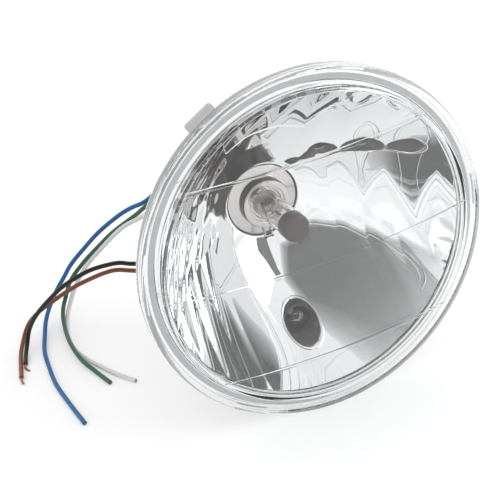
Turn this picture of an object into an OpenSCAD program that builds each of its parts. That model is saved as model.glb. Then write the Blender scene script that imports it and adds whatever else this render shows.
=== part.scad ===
// Round motorcycle headlight: a seven inch insert with a clear domed glass,
// a faceted mirror bowl, a two filament bulb, a small parking lamp and five free leads.
// Frame: the optical axis runs along -Y, +X is to the right seen from the front, +Z is up.
// The origin lies on the axis, where the round edge of the glass flange begins. Millimetres.

/* [Which piece] */
// Name of one piece, or all of them

/* [Glass] */
// Outer diameter of the glass flange
glass_d = 178; // [172:1:186]
// Height of the outer bead of the flange over the plane of the origin
bead_h = 1; // [0.8:0.1:1.5]
// Depth of the skirt of the flange behind the plane of the origin
skirt_depth = 5.8; // [5:0.1:8]
// Radial thickness of that skirt
skirt_w = 2.8; // [2:0.1:4]
// Thickness of the flange plate
flange_t = 3.0; // [2.4:0.1:3.6]
// Depth of the flat band of the flange below its outer bead
band_recess = 0.6; // [0.3:0.1:1]
// Radial width of the flange outside the raised shoulder that carries the dome
flange_w = 9; // [7.5:0.5:11]
// Height of that shoulder above the flange plane
shoulder_h = 5.4; // [4:0.2:8]
// Rise of the dome above the shoulder
dome_rise = 10.6; // [8:0.2:14]
// Thickness of the glass
glass_t = 2.4; // [2:0.1:3]
// Distance between the horizontal ribs
rib_pitch = 51; // [45:1:55]
// Height of the middle rib on the glass
rib_mid_z = -1; // [-4:1:4]
// Width of one rib
rib_w = 1.8; // [1.2:0.1:3]
// How far a rib stands out of the dome
rib_h = 0.4; // [0.2:0.1:0.8]

/* [Mirror bowl] */
// Focal length of the mirror
focal_len = 24; // [22:0.5:28]
// Depth of the front edge of the mirror behind the flange plane
mirror_edge_y = 4.4; // [4.3:0.1:5]
// Thickness of the bowl
bowl_t = 3.4; // [3:0.1:4.5]
// Length of one wave of the upper field
wave_len = 17; // [14:0.5:20]
// Height of those waves from valley to crest
wave_h = 0.5; // [0.2:0.1:0.8]
// Pitch of the vertical flutes of the lower field
flute_pitch = 11; // [9:0.5:14]
// Depth of those flutes
flute_depth = 0.4; // [0.2:0.1:0.8]
// Half width of the plain strip in the lower field
strip_w = 33; // [28:1:38]
// Step between the upper and the lower field
field_h = 0.8; // [0.4:0.1:1]
// Step of the patch above the bulb
patch_h = 0.6; // [0.3:0.1:0.8]
// Inner radius of that patch
patch_r = 45; // [40:1:50]
// Thickness of the rim ring behind the glass skirt
rim_t = 2.2; // [1.8:0.1:3]
// Inset of the rim ring from the glass edge
rim_inset = 1.5; // [1:0.1:2]
// Height of a locating lug over the rim ring
lug_h = 4; // [3:0.2:5]
// Width of a locating lug
lug_w = 16; // [12:1:20]
// Direction of the first locating lug, from +X towards +Z
lug_angle = 119; // [110:1:130]

/* [Bulb seat] */
// How far the tabs of the bulb ring reach over the edge of the bulb hole
tab_lap = 2.5; // [2:0.1:3]
// Distance from the front edge of the bulb hole to the seat
seat_back = 4; // [3.5:0.5:6]
// Wall of the neck round the seat
neck_wall = 5; // [4:0.5:6]
// Width of the key slot in the edge of the bulb hole
key_w = 5; // [4:0.2:6]
// Depth of that slot
key_h = 2; // [1.5:0.1:2.2]
// Depth of the recess, from the seat to the end of the neck
neck_back = 8; // [7:0.5:10]

/* [Bulb] */
// Diameter over the tabs of the bulb ring
tab_d = 43; // [41:0.5:45]
// Thickness of the bulb ring and its tabs
tab_t = 1; // [0.8:0.1:1.4]
// Diameter of the glass envelope
bulb_d = 13.6; // [12:0.2:15]
// Diameter of the drum in front of the ring
drum_d = 25.2; // [23:0.2:27]
// Length of that drum
drum_len = 7; // [5:0.5:9]
// Length of the envelope ahead of the seat
bulb_len = 43.4; // [40:0.2:48]
// Length of the dark cap on the envelope
tip_len = 9; // [7:0.5:12]
// Width of a terminal blade
blade_w = 7.8; // [7:0.1:8]
// Thickness of a terminal blade
blade_t = 0.9; // [0.7:0.1:1.1]
// Length of a terminal blade behind the insulator
blade_len = 13; // [11:0.5:14]
// Diameter of the insulator
insulator_d = 22; // [21:0.5:24]
// Length of the insulator behind the seat
insulator_len = 13; // [12:0.5:16]
// Reach of the foot of the insulator over its body
foot_lip = 2; // [1.5:0.1:2.4]
// Diameter of the head of the clip's screw
screw_d = 4.4; // [4:0.1:4.8]

/* [Boot and connector] */
// Wall of the rubber boot
boot_t = 3; // [2:0.2:4]
// Length of the cuff of the boot over the neck
cuff_len = 9; // [7:0.5:11]
// Width and height of the connector housing
plug_w = 26; // [25:0.5:30]
// Length of the connector housing
plug_len = 22; // [18:1:28]

/* [Parking lamp] */
// Diameter of the window of the parking lamp
park_d = 17; // [15:0.5:18]
// Distance of the middle of the window from the lower edge of the mirror
park_edge = 20.5; // [19:0.5:23]
// Sideways place of the window
park_x = -1.5; // [-4:0.5:4]
// Wall of the boss that holds the socket
park_wall = 2.5; // [2:0.1:3]
// Length of the boss behind the plain mirror
park_boss_len = 27; // [25:0.5:29]
// Diameter of the wedge bulb
park_bulb_d = 10.2; // [9:0.2:11]
// Length from the socket to the tip of the wedge bulb
park_bulb_len = 26; // [24:0.5:28]
// Length of the part of the socket behind its flange
park_back = 12; // [10:0.5:16]
// Length of the sleeve of the socket in front of its flange
park_sleeve = 23; // [20:0.5:24]

/* [Leads] */
// Diameter of a lead
lead_d = 2.2; // [1.8:0.1:2.6]
// Diameter of the bare copper at a lead's end
copper_d = 1.2; // [0.9:0.1:1.5]

/* [Fits] */
// Gap between pieces that lie in each other
gap = 0.3; // [0.2:0.05:0.4]
// Gap between the bulb ring and its hole
bulb_gap = 0.2; // [0.15:0.05:0.3]
// Gap between the tabs of the bulb ring and the wall of their recess
seat_gap = 0.5; // [0.4:0.1:1]
// Gap between the edge of the mirror and the leg of the glass
edge_gap = 0.1; // [0.1:0.05:0.3]
// Thickness of the sealing bead
bead_t = 1.3; // [1:0.1:1.6]
// Width of the sealing bead
bead_w = 3; // [2:0.2:4]

/* [Hidden] */

clear_glass = [0.86, 0.9, 0.92, 0.35];
bulb_glass_tint = [0.9, 0.88, 0.84, 0.4];
mirror_silver = [0.78, 0.79, 0.8];
plated_steel = [0.72, 0.7, 0.66];
tungsten = [0.3, 0.29, 0.28];
dark_cap = [0.3, 0.27, 0.25];
black_rubber = [0.07, 0.07, 0.075];
grey_sealant = [0.72, 0.73, 0.74];
black_plastic = [0.1, 0.1, 0.105];
ceramic = [0.82, 0.8, 0.75];
brass = [0.72, 0.58, 0.3];
copper = [0.72, 0.38, 0.22];

round_fn = 96;
glass_r = glass_d / 2;
shoulder_r = glass_r - flange_w;
skirt_in_r = glass_r - skirt_w;
leg_r = shoulder_r - glass_t;
mirror_r = leg_r - edge_gap;
tab_r = tab_d / 2;
hole_r = tab_r - tab_lap;
seat_r = tab_r + seat_gap;
plate_y = flange_t + gap;
rim_y = skirt_depth + gap;
rim_back_y = rim_y + rim_t;
rim_r = glass_r - rim_inset;
vertex_y = mirror_edge_y + mirror_r * mirror_r / (4 * focal_len);
hole_y = bowl_y(hole_r);
seat_y = hole_y + seat_back;
neck_end_y = seat_y + neck_back;
neck_r = seat_r + neck_wall;
ring_r = hole_r - bulb_gap;
ring_face_y = seat_y - seat_back + gap;
bead_r = (shoulder_r + skirt_in_r) / 2;
insulator_r = insulator_d / 2;
insulator_end_y = seat_y + insulator_len;
clip_r = insulator_r + foot_lip + gap + screw_d / 2;
blade_end_y = insulator_end_y + blade_len;
plug_y = insulator_end_y + gap;
plug_end_y = plug_y + plug_len;
blade_reach = 6.6;
park_z = park_edge - mirror_r;
park_r = park_d / 2;
park_boss_y = bowl_y(park_z) + park_boss_len;
socket_y = park_boss_y + gap;
socket_flange_t = 2.6;
socket_end_y = socket_y + socket_flange_t + park_back;
bulb_r = bulb_d / 2;
bulb_front_y = seat_y - bulb_len;
stem_y = seat_y - 12;
low_y = bulb_front_y + 8;
high_y = bulb_front_y + 18;
coil_len = 5.2;
cup_y = bulb_front_y + 6.5;
cup_len = 9;
cup_r = 4.2;
wire_d = 0.9;

// Direction of the two borders between the upper and the lower field
border_right = -20;
border_left = 195;
// Where across the mirror one of the waves begins
wave_start = 4;
// Directions between which the stepped patch above the bulb lies
patch_right = 62;
patch_left = 118;

// Depth of the plain mirror at a radius
function bowl_y(r) = vertex_y - r * r / (4 * focal_len);

// A rounded flute across x, from 0 in its valley to 1 on its crest
function flute(x) = abs(sin(180 * x / flute_pitch));

// A wave across x of round crests and valleys that meet without an edge, from -0.5 to 0.5
function wave(x) =
    let(t = x / wave_len - floor(x / wave_len))
    t < 0.5 ? 8 * t * (0.5 - t) : -8 * (t - 0.5) * (1 - t);

// How far a flute may grow at a radius, so that the edges stay plain
function fade(r) = min(1, max(0, (r - hole_r - fade_from) / fade_len));

// True in the lower field of the mirror
function is_lower(a) = (a > border_left && a < 360 + border_right);

// Depth of the faceted mirror at an angle and a radius
function mirror_y(a, r) =
    let(x = r * cos(a), z = r * sin(a))
    bowl_y(r) + (is_lower(a)
        ? (abs(x) < strip_w ? 0 : flute_depth * fade(r) * flute(abs(x) - strip_w))
        : -field_h * fade(r)
            + wave_h * fade(r) * wave(x - wave_start)
            + (r > patch_r && a > patch_right && a < patch_left ? patch_h : 0));

// Routes of the leads, from the housing to the cut end
blue_points = [
    [6, plug_end_y, 5], [6, plug_end_y + 4, 5], [6, plug_end_y + 12, 5], [1, 126, 3], [-8, 137, -4],
    [-21, 145, -12], [-35, 150, -22.3], [-43, 156, -26.6], [-50, 161, -31.2], [-61, 168, -40.3],
    [-70, 173, -49.4], [-79, 176, -58], [-85, 177, -65.3], [-90, 178, -71.5], [-96, 176, -78],
    [-102, 170, -83.5], [-107, 159, -86.8], [-112, 144, -87.8], [-115, 126, -87.8], [-117, 108, -87.8],
    [-117, 89, -87.8], [-116, 62, -87.8]
];
green_points = [
    [0, plug_end_y, 1], [0, plug_end_y + 4, 1], [0, plug_end_y + 11, 1], [-4, 122, -2], [-12, 132, -7],
    [-24, 140, -14.5], [-38, 147, -24.5], [-43, 152, -29.9], [-55, 160, -39.2], [-64, 168, -49.4],
    [-73, 174, -59.1], [-81, 178, -68.8], [-86, 178, -77.6], [-91, 172, -83], [-95, 158, -85.3],
    [-98, 138, -85.3], [-98, 119, -86], [-95, 105, -87.4], [-92, 90, -87.8]
];
white_points = [
    [-6, plug_end_y, -4], [-6, plug_end_y + 4, -4], [-6, plug_end_y + 9, -4], [-10, 119, -8],
    [-19, 130, -13.5], [-30, 138, -21], [-41, 145, -28.4], [-52, 153, -35.3], [-64, 164, -49.5],
    [-73, 171, -60.8], [-80, 175, -72.3], [-85, 175, -80.9], [-90, 169, -86.3], [-95, 154, -87.8],
    [-97, 137, -87.8], [-95, 122, -87.8], [-91, 109, -87.8], [-86, 95, -87.8], [-80, 83, -87.8]
];
black_points = [
    [park_x + 2.5, socket_end_y, park_z], [park_x + 2.5, socket_end_y + 4, park_z],
    [park_x + 2.5, socket_end_y + 9, park_z], [-2, 94, -55.5], [-10, 106, -53], [-22, 116, -49.5],
    [-38, 124, -47], [-54, 130, -46.9], [-62, 134, -45.2], [-69, 138, -46], [-77, 141, -47.3],
    [-85, 144, -50.4], [-94, 147, -55], [-101, 150, -60.9], [-107, 152, -66.2], [-112, 153, -71.3],
    [-116, 153, -77.2], [-119, 150.5, -82.6], [-122, 146, -86.2], [-125, 138, -87.8]
];
brown_points = [
    [park_x - 2.5, socket_end_y, park_z], [park_x - 2.5, socket_end_y + 4, park_z],
    [park_x - 2.5, socket_end_y + 9, park_z], [-6.5, 94, -58], [-13, 105, -58.5], [-24, 115, -57],
    [-39, 126, -55], [-54, 134, -53.1], [-63, 139, -51.5], [-70, 143, -52.9], [-77, 146, -55.1],
    [-85, 150, -58.5], [-94, 154, -63.3], [-100, 157, -67.3], [-106, 160, -71.3], [-112, 162, -76.4],
    [-116, 161, -80.5], [-120, 157, -84.6], [-125, 147, -87.3], [-131, 126, -87.8]
];
route_steps = 3;

// Where the waves and flutes begin outside the bulb hole, and the length over which they grow
fade_from = 3;
fade_len = 12;

// Unit vector
function unit(v) = v / norm(v);

// Point on a smooth curve through four points
function curve_at(a, b, c, d, t) =
    0.5 * (2 * b + (c - a) * t + (2 * a - 5 * b + 4 * c - d) * t * t + (3 * b - a - 3 * c + d) * t * t * t);

// Smooth route through the points, with a few steps between two of them
function smooth_route(p, steps) = concat(
    [for (i = [0:len(p) - 2], j = [0:steps - 1])
        curve_at(p[max(i - 1, 0)], p[i], p[i + 1], p[min(i + 2, len(p) - 1)], j / steps)],
    [p[len(p) - 1]]);

// Direction of a route at one of its points
function heading(p, i) = i == 0 ? unit(p[1] - p[0])
    : i == len(p) - 1 ? unit(p[i] - p[i - 1])
    : unit(p[i + 1] - p[i - 1]);

// A body of revolution round the optical axis, from radius and depth
module turned(points) {
    rotate([-90, 0, 0])
        rotate_extrude($fn = round_fn)
            polygon(points);
}

// A round bar along the optical axis
module bar(r, y0, y1, x = 0, z = 0) {
    translate([x, y0, z])
        rotate([-90, 0, 0])
            cylinder(r = r, h = y1 - y0, $fn = 48);
}

// A tube along the optical axis
module pipe(r_out, r_in, y0, y1, x = 0, z = 0) {
    difference() {
        bar(r_out, y0, y1, x, z);
        bar(r_in, y0 - 1, y1 + 1, x, z);
    }
}

// A round wire or lead swept along a route
module swept(p, d, up = [0, 0, 1], sides = 8) {
    n = len(p);
    rings = [for (i = [0:n - 1])
        let(t = heading(p, i), u = unit(cross(t, up)), w = cross(u, t))
        for (k = [0:sides - 1])
            p[i] + d / 2 * (cos(360 * k / sides) * u + sin(360 * k / sides) * w)];
    sheath = [for (i = [0:n - 2], k = [0:sides - 1])
        let(a = i * sides + k, b = i * sides + (k + 1) % sides)
        [a, b, b + sides, a + sides]];
    start = [for (k = [sides - 1:-1:0]) k];
    finish = [for (k = [0:sides - 1]) (n - 1) * sides + k];
    polyhedron(points = rings, faces = concat([start], sheath, [finish]), convexity = 6);
}

// The clear glass: flange with skirt and bead, raised shoulder, dome and ribs
module lens() {
    edge_r = shoulder_r - 1.2;
    top_y = -shoulder_h;
    dome_r = (edge_r * edge_r + dome_rise * dome_rise) / (2 * dome_rise);
    in_r = leg_r - 1;
    band_y = band_recess - bead_h;
    steps = 12;
    function dome_y(r, lift) = top_y - dome_rise - lift + dome_r - sqrt(dome_r * dome_r - r * r);
    outer = [for (i = [0:steps]) [edge_r * i / steps, dome_y(edge_r * i / steps, 0)]];
    inner = [for (i = [steps:-1:0]) [in_r * i / steps, dome_y(in_r * i / steps, -glass_t)]];
    raised = [for (i = [0:steps]) [edge_r * i / steps, dome_y(edge_r * i / steps, rib_h)]];
    color(clear_glass) {
        turned(concat(outer, [
            [shoulder_r - 0.3, top_y + 0.3], [shoulder_r, top_y + 1.1], [shoulder_r + 0.4, band_y - 0.8],
            [shoulder_r + 0.9, band_y - 0.25], [shoulder_r + 2, band_y], [skirt_in_r - 0.2, band_y],
            [skirt_in_r + 0.6, 0.1 - bead_h], [glass_r - 1.4, -bead_h], [glass_r - 0.5, 0.25 - bead_h],
            [glass_r, -0.3],
            [glass_r, skirt_depth - 0.5], [glass_r - 0.5, skirt_depth], [skirt_in_r, skirt_depth],
            [skirt_in_r, flange_t], [leg_r, flange_t], [leg_r, dome_y(in_r, -glass_t) + 1]
        ], inner));
        for (i = [-1:1])
            intersection() {
                turned(concat(raised, [[edge_r, dome_y(edge_r, -0.5)]],
                    [for (k = [steps:-1:0]) [edge_r * k / steps, dome_y(edge_r * k / steps, -0.5)]]));
                translate([-shoulder_r, dome_y(0, 2 * rib_h), rib_mid_z + i * rib_pitch - rib_w / 2])
                    cube([2 * shoulder_r, dome_rise + shoulder_h, rib_w]);
            }
    }
}

// The bead that glues the glass to the rim of the bowl
module seal_bead() {
    color(grey_sealant)
        turned([
            [bead_r - bead_w / 2, flange_t], [bead_r + bead_w / 2, flange_t],
            [bead_r + bead_w / 2, flange_t + bead_t], [bead_r - bead_w / 2, flange_t + bead_t]
        ]);
}

// The faceted surface of the mirror as a closed cutter, open towards the glass
module mirror_cutter() {
    angles = [for (k = [0:143]) 2.5 * k];
    radii = concat(
        [for (i = [0:6]) hole_r + 1.5 + (patch_r - 0.4 - hole_r - 1.5) * i / 6],
        [for (i = [0:8]) patch_r + 0.4 + (mirror_r - patch_r - 0.4) * i / 8]);
    m = len(angles);
    n = len(radii);
    floor = [for (a = angles) [radii[0] * cos(a), hole_y, radii[0] * sin(a)]];
    shell = [for (r = radii, a = angles) if (r > radii[0]) [r * cos(a), mirror_y(a, r), r * sin(a)]];
    brim = [for (a = angles) [mirror_r * cos(a), flange_t - 1, mirror_r * sin(a)]];
    sides = [for (i = [0:n - 1], k = [0:m - 1])
        let(a = i * m + k, b = i * m + (k + 1) % m)
        each [[a, b + m, b], [a, a + m, b + m]]];
    polyhedron(
        points = concat(floor, shell, brim),
        faces = concat([[for (k = [0:m - 1]) k]], sides, [[for (k = [m - 1:-1:0]) n * m + k]]),
        convexity = 10);
}

// The moulded bowl: rim ring with three lugs, faceted mirror, neck and parking lamp boss
module reflector() {
    steps = 10;
    out_r = mirror_r + 3;
    back = [for (i = [0:steps])
        let(r = out_r + (neck_r - out_r) * i / steps)
        [r, bowl_y(r) + bowl_t * sqrt(1 + pow(r / (2 * focal_len), 2))]];
    color(mirror_silver)
        difference() {
            union() {
                turned(concat([
                    [0, plate_y], [skirt_in_r - gap, plate_y], [skirt_in_r - gap, rim_y], [rim_r, rim_y],
                    [rim_r, rim_back_y], [out_r + 0.5, rim_back_y]
                ], back, [[neck_r, neck_end_y], [0, neck_end_y]]));
                for (i = [0:2])
                    rotate([0, -lug_angle - 120 * i, 0])
                        translate([rim_r - 2, rim_y + 0.2, -lug_w / 2])
                            cube([lug_h + 2, rim_t - 0.4, lug_w]);
                bar(park_r + park_wall, plate_y + park_edge / 2, park_boss_y, park_x, park_z);
            }
            mirror_cutter();
            bar(hole_r, hole_y / 2, neck_end_y + 1);
            bar(seat_r, seat_y, neck_end_y + 1);
            bar(park_r, plate_y, park_boss_y + 1, park_x, park_z);
            translate([-key_w / 2, hole_y - key_h, -hole_r - key_h])
                cube([key_w, seat_back + 2 * key_h, hole_r]);
            turned([
                [bead_r - bead_w / 2 - gap, plate_y - 1], [bead_r + bead_w / 2 + gap, plate_y - 1],
                [bead_r + bead_w / 2 + gap, flange_t + bead_t], [bead_r - bead_w / 2 - gap, flange_t + bead_t]
            ]);
        }
}

// The metal ring of the bulb: three tabs, a key, a flat face and the drum that grips the envelope
module bulb_ring() {
    cap_in = bulb_r + 0.15;
    drum_r = drum_d / 2;
    front_y = ring_face_y - drum_len;
    color(plated_steel)
        union() {
            turned([
                [cap_in, front_y + 1.2], [drum_r - 3.2, front_y + 1.2], [drum_r - 3.2, front_y],
                [drum_r - 1, front_y], [drum_r, front_y + 1], [drum_r, ring_face_y - 0.8],
                [drum_r + 0.8, ring_face_y], [ring_r - 0.6, ring_face_y],
                [ring_r, ring_face_y + 0.6], [ring_r, seat_y + tab_t], [cap_in, seat_y + tab_t]
            ]);
            translate([-key_w / 2 + gap, ring_face_y - 1, -ring_r - key_h + 2 * gap])
                cube([key_w - 2 * gap, tab_t, key_h + 1]);
            for (a = [90, 210, 330])
                intersection() {
                    bar(tab_r, seat_y, seat_y + tab_t - 0.1);
                    rotate([0, -a, 0])
                        translate([ring_r - 3, seat_y - 1, -5])
                            cube([10, 5, 10]);
                }
        }
}

// The glass envelope, hollow, with a rounded front
module bulb_glass() {
    wall = 0.9;
    y0 = bulb_front_y + 0.4;
    nose = 2.2;
    front = [for (a = [0:15:90]) [bulb_r - nose + nose * sin(a), y0 + nose - nose * cos(a)]];
    in_front = [for (a = [90:-15:0])
        [bulb_r - nose + (nose - wall) * sin(a), y0 + nose - (nose - wall) * cos(a)]];
    color(bulb_glass_tint)
        turned(concat([[0, y0]], front, [
            [bulb_r, seat_y - 4], [bulb_r - wall, seat_y - 4]
        ], in_front, [[0, y0 + wall]]));
}

// The dark cap over the front of the envelope
module bulb_tip() {
    in = bulb_r + 0.05;
    out = bulb_r + 0.4;
    y0 = bulb_front_y;
    nose = 2.2;
    front = [for (a = [0:15:90]) [out - nose - 0.4 + (nose + 0.4) * sin(a), y0 + nose - nose * cos(a)]];
    in_front = [for (a = [90:-15:0])
        [in - nose + nose * sin(a), y0 + 0.35 + nose - nose * cos(a)]];
    color(dark_cap)
        turned(concat([[0, y0]], front, [
            [out, y0 + tip_len], [in, y0 + tip_len]
        ], in_front, [[0, y0 + 0.35]]));
}

// The glass foot that seals the wires of the filaments
module bulb_stem() {
    half_w = bulb_r - 1.4;
    half_h = 2.2;
    color(bulb_glass_tint)
        union() {
            translate([-half_w, stem_y, -half_h])
                cube([2 * half_w, 8, 2 * half_h]);
            bar(bulb_r - 0.95, stem_y + 6, stem_y + 8);
        }
}

// A filament coil across a length of the axis
module coil(y0, y1, z) {
    turns = 8;
    pitch = (y1 - y0) / turns;
    color(tungsten) {
        bar(0.55, y0, y1, 0, z);
        for (i = [0:turns - 1])
            bar(0.85, y0 + pitch * (i + 0.25), y0 + pitch * (i + 0.75), 0, z);
    }
}

// The coil for the low beam, over its shield
module low_filament() {
    coil(low_y, low_y + coil_len, 0.9);
}

// The coil for the high beam, on the axis
module high_filament() {
    coil(high_y, high_y + coil_len, 0);
}

// The cupped shield under the low beam coil
module beam_shield() {
    color(plated_steel)
        translate([0, cup_y, 0.5])
            rotate([-90, 0, 0])
                difference() {
                    cylinder(r = cup_r, h = cup_len, $fn = 48);
                    translate([0, 0, 0.6])
                        cylinder(r = cup_r - 0.5, h = cup_len, $fn = 48);
                    translate([-1.5 * cup_r, -3 * cup_r, -1])
                        cube([3 * cup_r, 3 * cup_r, cup_len + 2]);
                }
}

// The stiff wires that carry the coils and the shield
module filament_leads() {
    side_x = cup_r + 0.6;
    below_z = -cup_r;
    color(tungsten) {
        swept([[side_x, stem_y, 0], [side_x, low_y + 2.5, 0], [side_x - 0.2, low_y + 0.6, 1],
            [side_x - 0.9, low_y - 0.3, 1.3], [0.4, low_y - 0.6, 1.1]], wire_d);
        swept([[-side_x, stem_y, 0], [-side_x, high_y + 0.4, 0], [0.7 - side_x, high_y - 0.6, 0],
            [-0.4, high_y - 0.8, 0]], wire_d);
        swept([[0, stem_y, -1.4], [0, stem_y - 1, -1.4], [0, high_y + 3, below_z],
            [0, cup_y + 0.5, below_z]], wire_d);
        swept([[2.6, stem_y, 0], [2.6, high_y + coil_len + 1.2, 0], [2, high_y + coil_len + 0.6, 0],
            [0.4, high_y + coil_len + 0.4, 0]], wire_d);
    }
}

// The insulator behind the ring that holds the three blades
module bulb_insulator() {
    color(ceramic)
        difference() {
            union() {
                bar(insulator_r, seat_y + tab_t, insulator_end_y);
                bar(insulator_r + foot_lip, seat_y + tab_t, seat_y + tab_t + 2);
            }
            blade_slots(gap / 2, insulator_end_y - 6, insulator_end_y + 1);
        }
}

// Room for the three blades, with play all round
module blade_slots(play, y0, y1) {
    w = blade_w + 2 * play;
    t = blade_t + 2 * play;
    translate([-w / 2, y0, blade_reach - t / 2])
        cube([w, y1 - y0, t]);
    for (s = [-1, 1])
        translate([s * blade_reach - t / 2, y0, -w / 2 - 1])
            cube([t, y1 - y0, w]);
}

// One blade standing flat or on edge
module blade(x, z, upright) {
    w = upright ? blade_t : blade_w;
    h = upright ? blade_w : blade_t;
    color(brass)
        translate([x - w / 2, insulator_end_y - 6, z - h / 2])
            difference() {
                cube([w, blade_len + 6, h]);
                translate([w / 2, blade_len + 2, h / 2])
                    rotate(upright ? [0, 90, 0] : [0, 0, 0])
                        cylinder(r = 0.9, h = 4, center = true, $fn = 24);
            }
}

module top_blade() {
    blade(0, blade_reach, false);
}

module left_blade() {
    blade(-blade_reach, -1, true);
}

module right_blade() {
    blade(blade_reach, -1, true);
}

// The spring wire that presses the bulb ring on its seat
module bulb_clip() {
    y = seat_y + tab_t + 0.7;
    r = clip_r;
    color(plated_steel)
        swept([
            [-3.5, y, -r], [-r * 0.7, y, -r * 0.7], [-r * 0.94, y, -r * 0.3], [-r * 0.96, y, r * 0.2],
            [-r * 0.66, y, r * 0.7], [-2.6, y, r * 0.95], [2.6, y, r * 0.95], [r * 0.66, y, r * 0.7],
            [r * 0.96, y, r * 0.2], [r * 0.94, y, -r * 0.3], [r * 0.7, y, -r * 0.7], [3.5, y, -r]
        ], 1.4, [0, 1, 0]);
}

// The screw that holds the clip
module clip_screw() {
    y = seat_y + tab_t + 1.4;
    color(plated_steel)
        difference() {
            union() {
                bar(screw_d / 2, y, y + 1.8, 0, -clip_r);
                bar(screw_d / 4, seat_y + tab_t, y, 0, -clip_r);
            }
            translate([-screw_d, y + 1.1, -clip_r - 0.4])
                cube([2 * screw_d, 2, 0.8]);
        }
}

// The rubber boot over the neck, with a collar round the insulator
module rubber_boot() {
    in = neck_r + gap;
    out = in + boot_t;
    band = 0.4 * cuff_len;
    step = 0.3 * boot_t;
    back = neck_end_y + gap;
    back_out = back + boot_t;
    collar = insulator_r + gap;
    collar_end = insulator_end_y - gap;
    color(black_rubber)
        turned([
            [in, neck_end_y - cuff_len], [out - step, neck_end_y - cuff_len],
            [out, neck_end_y - cuff_len + step], [out, neck_end_y - cuff_len + band],
            [out - step, neck_end_y - cuff_len + band + step / 2], [out - step, back_out - 1.4 * step],
            [out - 2 * step, back_out], [out - 2 * boot_t, back_out], [out - 2.3 * boot_t, back_out - step],
            [collar + 1.7 * boot_t, back_out - step], [collar + boot_t, back_out],
            [collar + 0.8 * boot_t, collar_end], [collar, collar_end],
            [collar, back], [in, back]
        ]);
}

// The housing of the three way connector, with its ribs and its latch
module connector() {
    h = plug_w / 2;
    color(black_plastic)
        difference() {
            union() {
                translate([-h, plug_y, -h + 2])
                    cube([plug_w, plug_len, plug_w - 2]);
                translate([-h - 1, plug_y, -h + 1])
                    cube([plug_w + 2, 4, plug_w]);
                for (x = [-7, 0, 7])
                    translate([x - 1, plug_y + 4, h])
                        cube([2, plug_len - 7, 1]);
            }
            blade_slots(gap, plug_y - 1, blade_end_y + 1);
            for (s = [-1, 1])
                translate([s * (h - 1), plug_y + 7, -3])
                    translate([s > 0 ? 0 : -2, 0, 0])
                        cube([2, 9, 6]);
        }
}

// The socket of the parking lamp, pushed into its boss from behind
module park_socket() {
    body_r = park_r - gap;
    sleeve_r = body_r - 1.2;
    color(black_plastic)
        difference() {
            union() {
                bar(body_r, socket_y - park_sleeve, socket_y, park_x, park_z);
                bar(park_r + park_wall, socket_y, socket_y + socket_flange_t, park_x, park_z);
                bar(body_r - 1, socket_y + socket_flange_t, socket_end_y, park_x, park_z);
                for (s = [-1, 1])
                    translate([park_x + s * (body_r - 1.6) - 1, socket_y + socket_flange_t, park_z - 2.5])
                        cube([2, park_back - 3, 5]);
            }
            bar(sleeve_r, socket_y - park_sleeve - 1, socket_y - 2.4, park_x, park_z);
        }
}

// The two spring contacts in the parking lamp socket
module park_contacts() {
    color(brass)
        for (s = [-1, 1])
            translate([park_x - 2.5, socket_y - 8.1, park_z + s * 1.5 - 0.25])
                cube([5, 5.7, 0.5]);
}

// The glass of the wedge bulb
module park_bulb() {
    r = park_bulb_d / 2;
    y0 = socket_y - park_bulb_len;
    color(bulb_glass_tint)
        translate([park_x, 0, park_z])
            turned([
                [0, y0], [r * 0.5, y0 + 0.7], [r * 0.87, y0 + 2.6], [r, y0 + 5.2], [r, y0 + 14],
                [r * 0.82, y0 + 16.8], [r * 0.82 - 0.8, y0 + 16.8], [r - 0.8, y0 + 13.6], [r - 0.8, y0 + 5.4],
                [r * 0.87 - 0.6, y0 + 3.2], [r * 0.5 - 0.2, y0 + 1.5], [0, y0 + 0.8]
            ]);
}

// The flat foot of the wedge bulb between the contacts
module park_base() {
    color(bulb_glass_tint)
        union() {
            bar(park_bulb_d / 2 * 0.82, socket_y - 9.2, socket_y - 8.2, park_x, park_z);
            translate([park_x - 4, socket_y - 8.2, park_z - 1.2])
                cube([8, 5.5, 2.4]);
        }
}

// The filament of the wedge bulb on its two wires
module park_filament() {
    y = socket_y - 18;
    color(tungsten)
        swept([
            [park_x - 2, socket_y - 9.2, park_z], [park_x - 2.4, y + 1, park_z], [park_x - 1.8, y, park_z],
            [park_x + 1.8, y, park_z], [park_x + 2.4, y + 1, park_z], [park_x + 2, socket_y - 9.2, park_z]
        ], 0.6);
}

module blue_lead() {
    color([0.2, 0.38, 0.66])
        swept(smooth_route(blue_points, route_steps), lead_d);
}

module green_lead() {
    color([0.24, 0.42, 0.3])
        swept(smooth_route(green_points, route_steps), lead_d);
}

module white_lead() {
    color([0.9, 0.88, 0.88])
        swept(smooth_route(white_points, route_steps), lead_d);
}

module black_lead() {
    color([0.1, 0.09, 0.09])
        swept(smooth_route(black_points, route_steps), lead_d);
}

module brown_lead() {
    color([0.38, 0.24, 0.2])
        swept(smooth_route(brown_points, route_steps), lead_d);
}

// Bare copper that stands out of a cut end and turns down a little
module bare_end(p, side) {
    n = len(p);
    t = unit(p[n - 1] - p[n - 2]);
    u = unit(cross(t, [0, 0, 1]));
    a = p[n - 1];
    color(copper)
        swept([a, a + 4 * t, a + 7 * t + side * 1.5 * u, a + 9 * t + side * 3.5 * u], copper_d);
}

module black_copper() {
    bare_end(black_points, -1);
}

module brown_copper() {
    bare_end(brown_points, 1);
}

lens();
seal_bead();
reflector();
bulb_ring();
bulb_glass();
bulb_tip();
bulb_stem();
low_filament();
high_filament();
beam_shield();
filament_leads();
bulb_insulator();
top_blade();
left_blade();
right_blade();
bulb_clip();
clip_screw();
rubber_boot();
connector();
park_socket();
park_contacts();
park_bulb();
park_filament();
park_base();
blue_lead();
green_lead();
white_lead();
black_lead();
brown_lead();
black_copper();
brown_copper();
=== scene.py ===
"""Looks of a round motorcycle headlight: glass, mirror, bulb, parking lamp and leads."""

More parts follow.
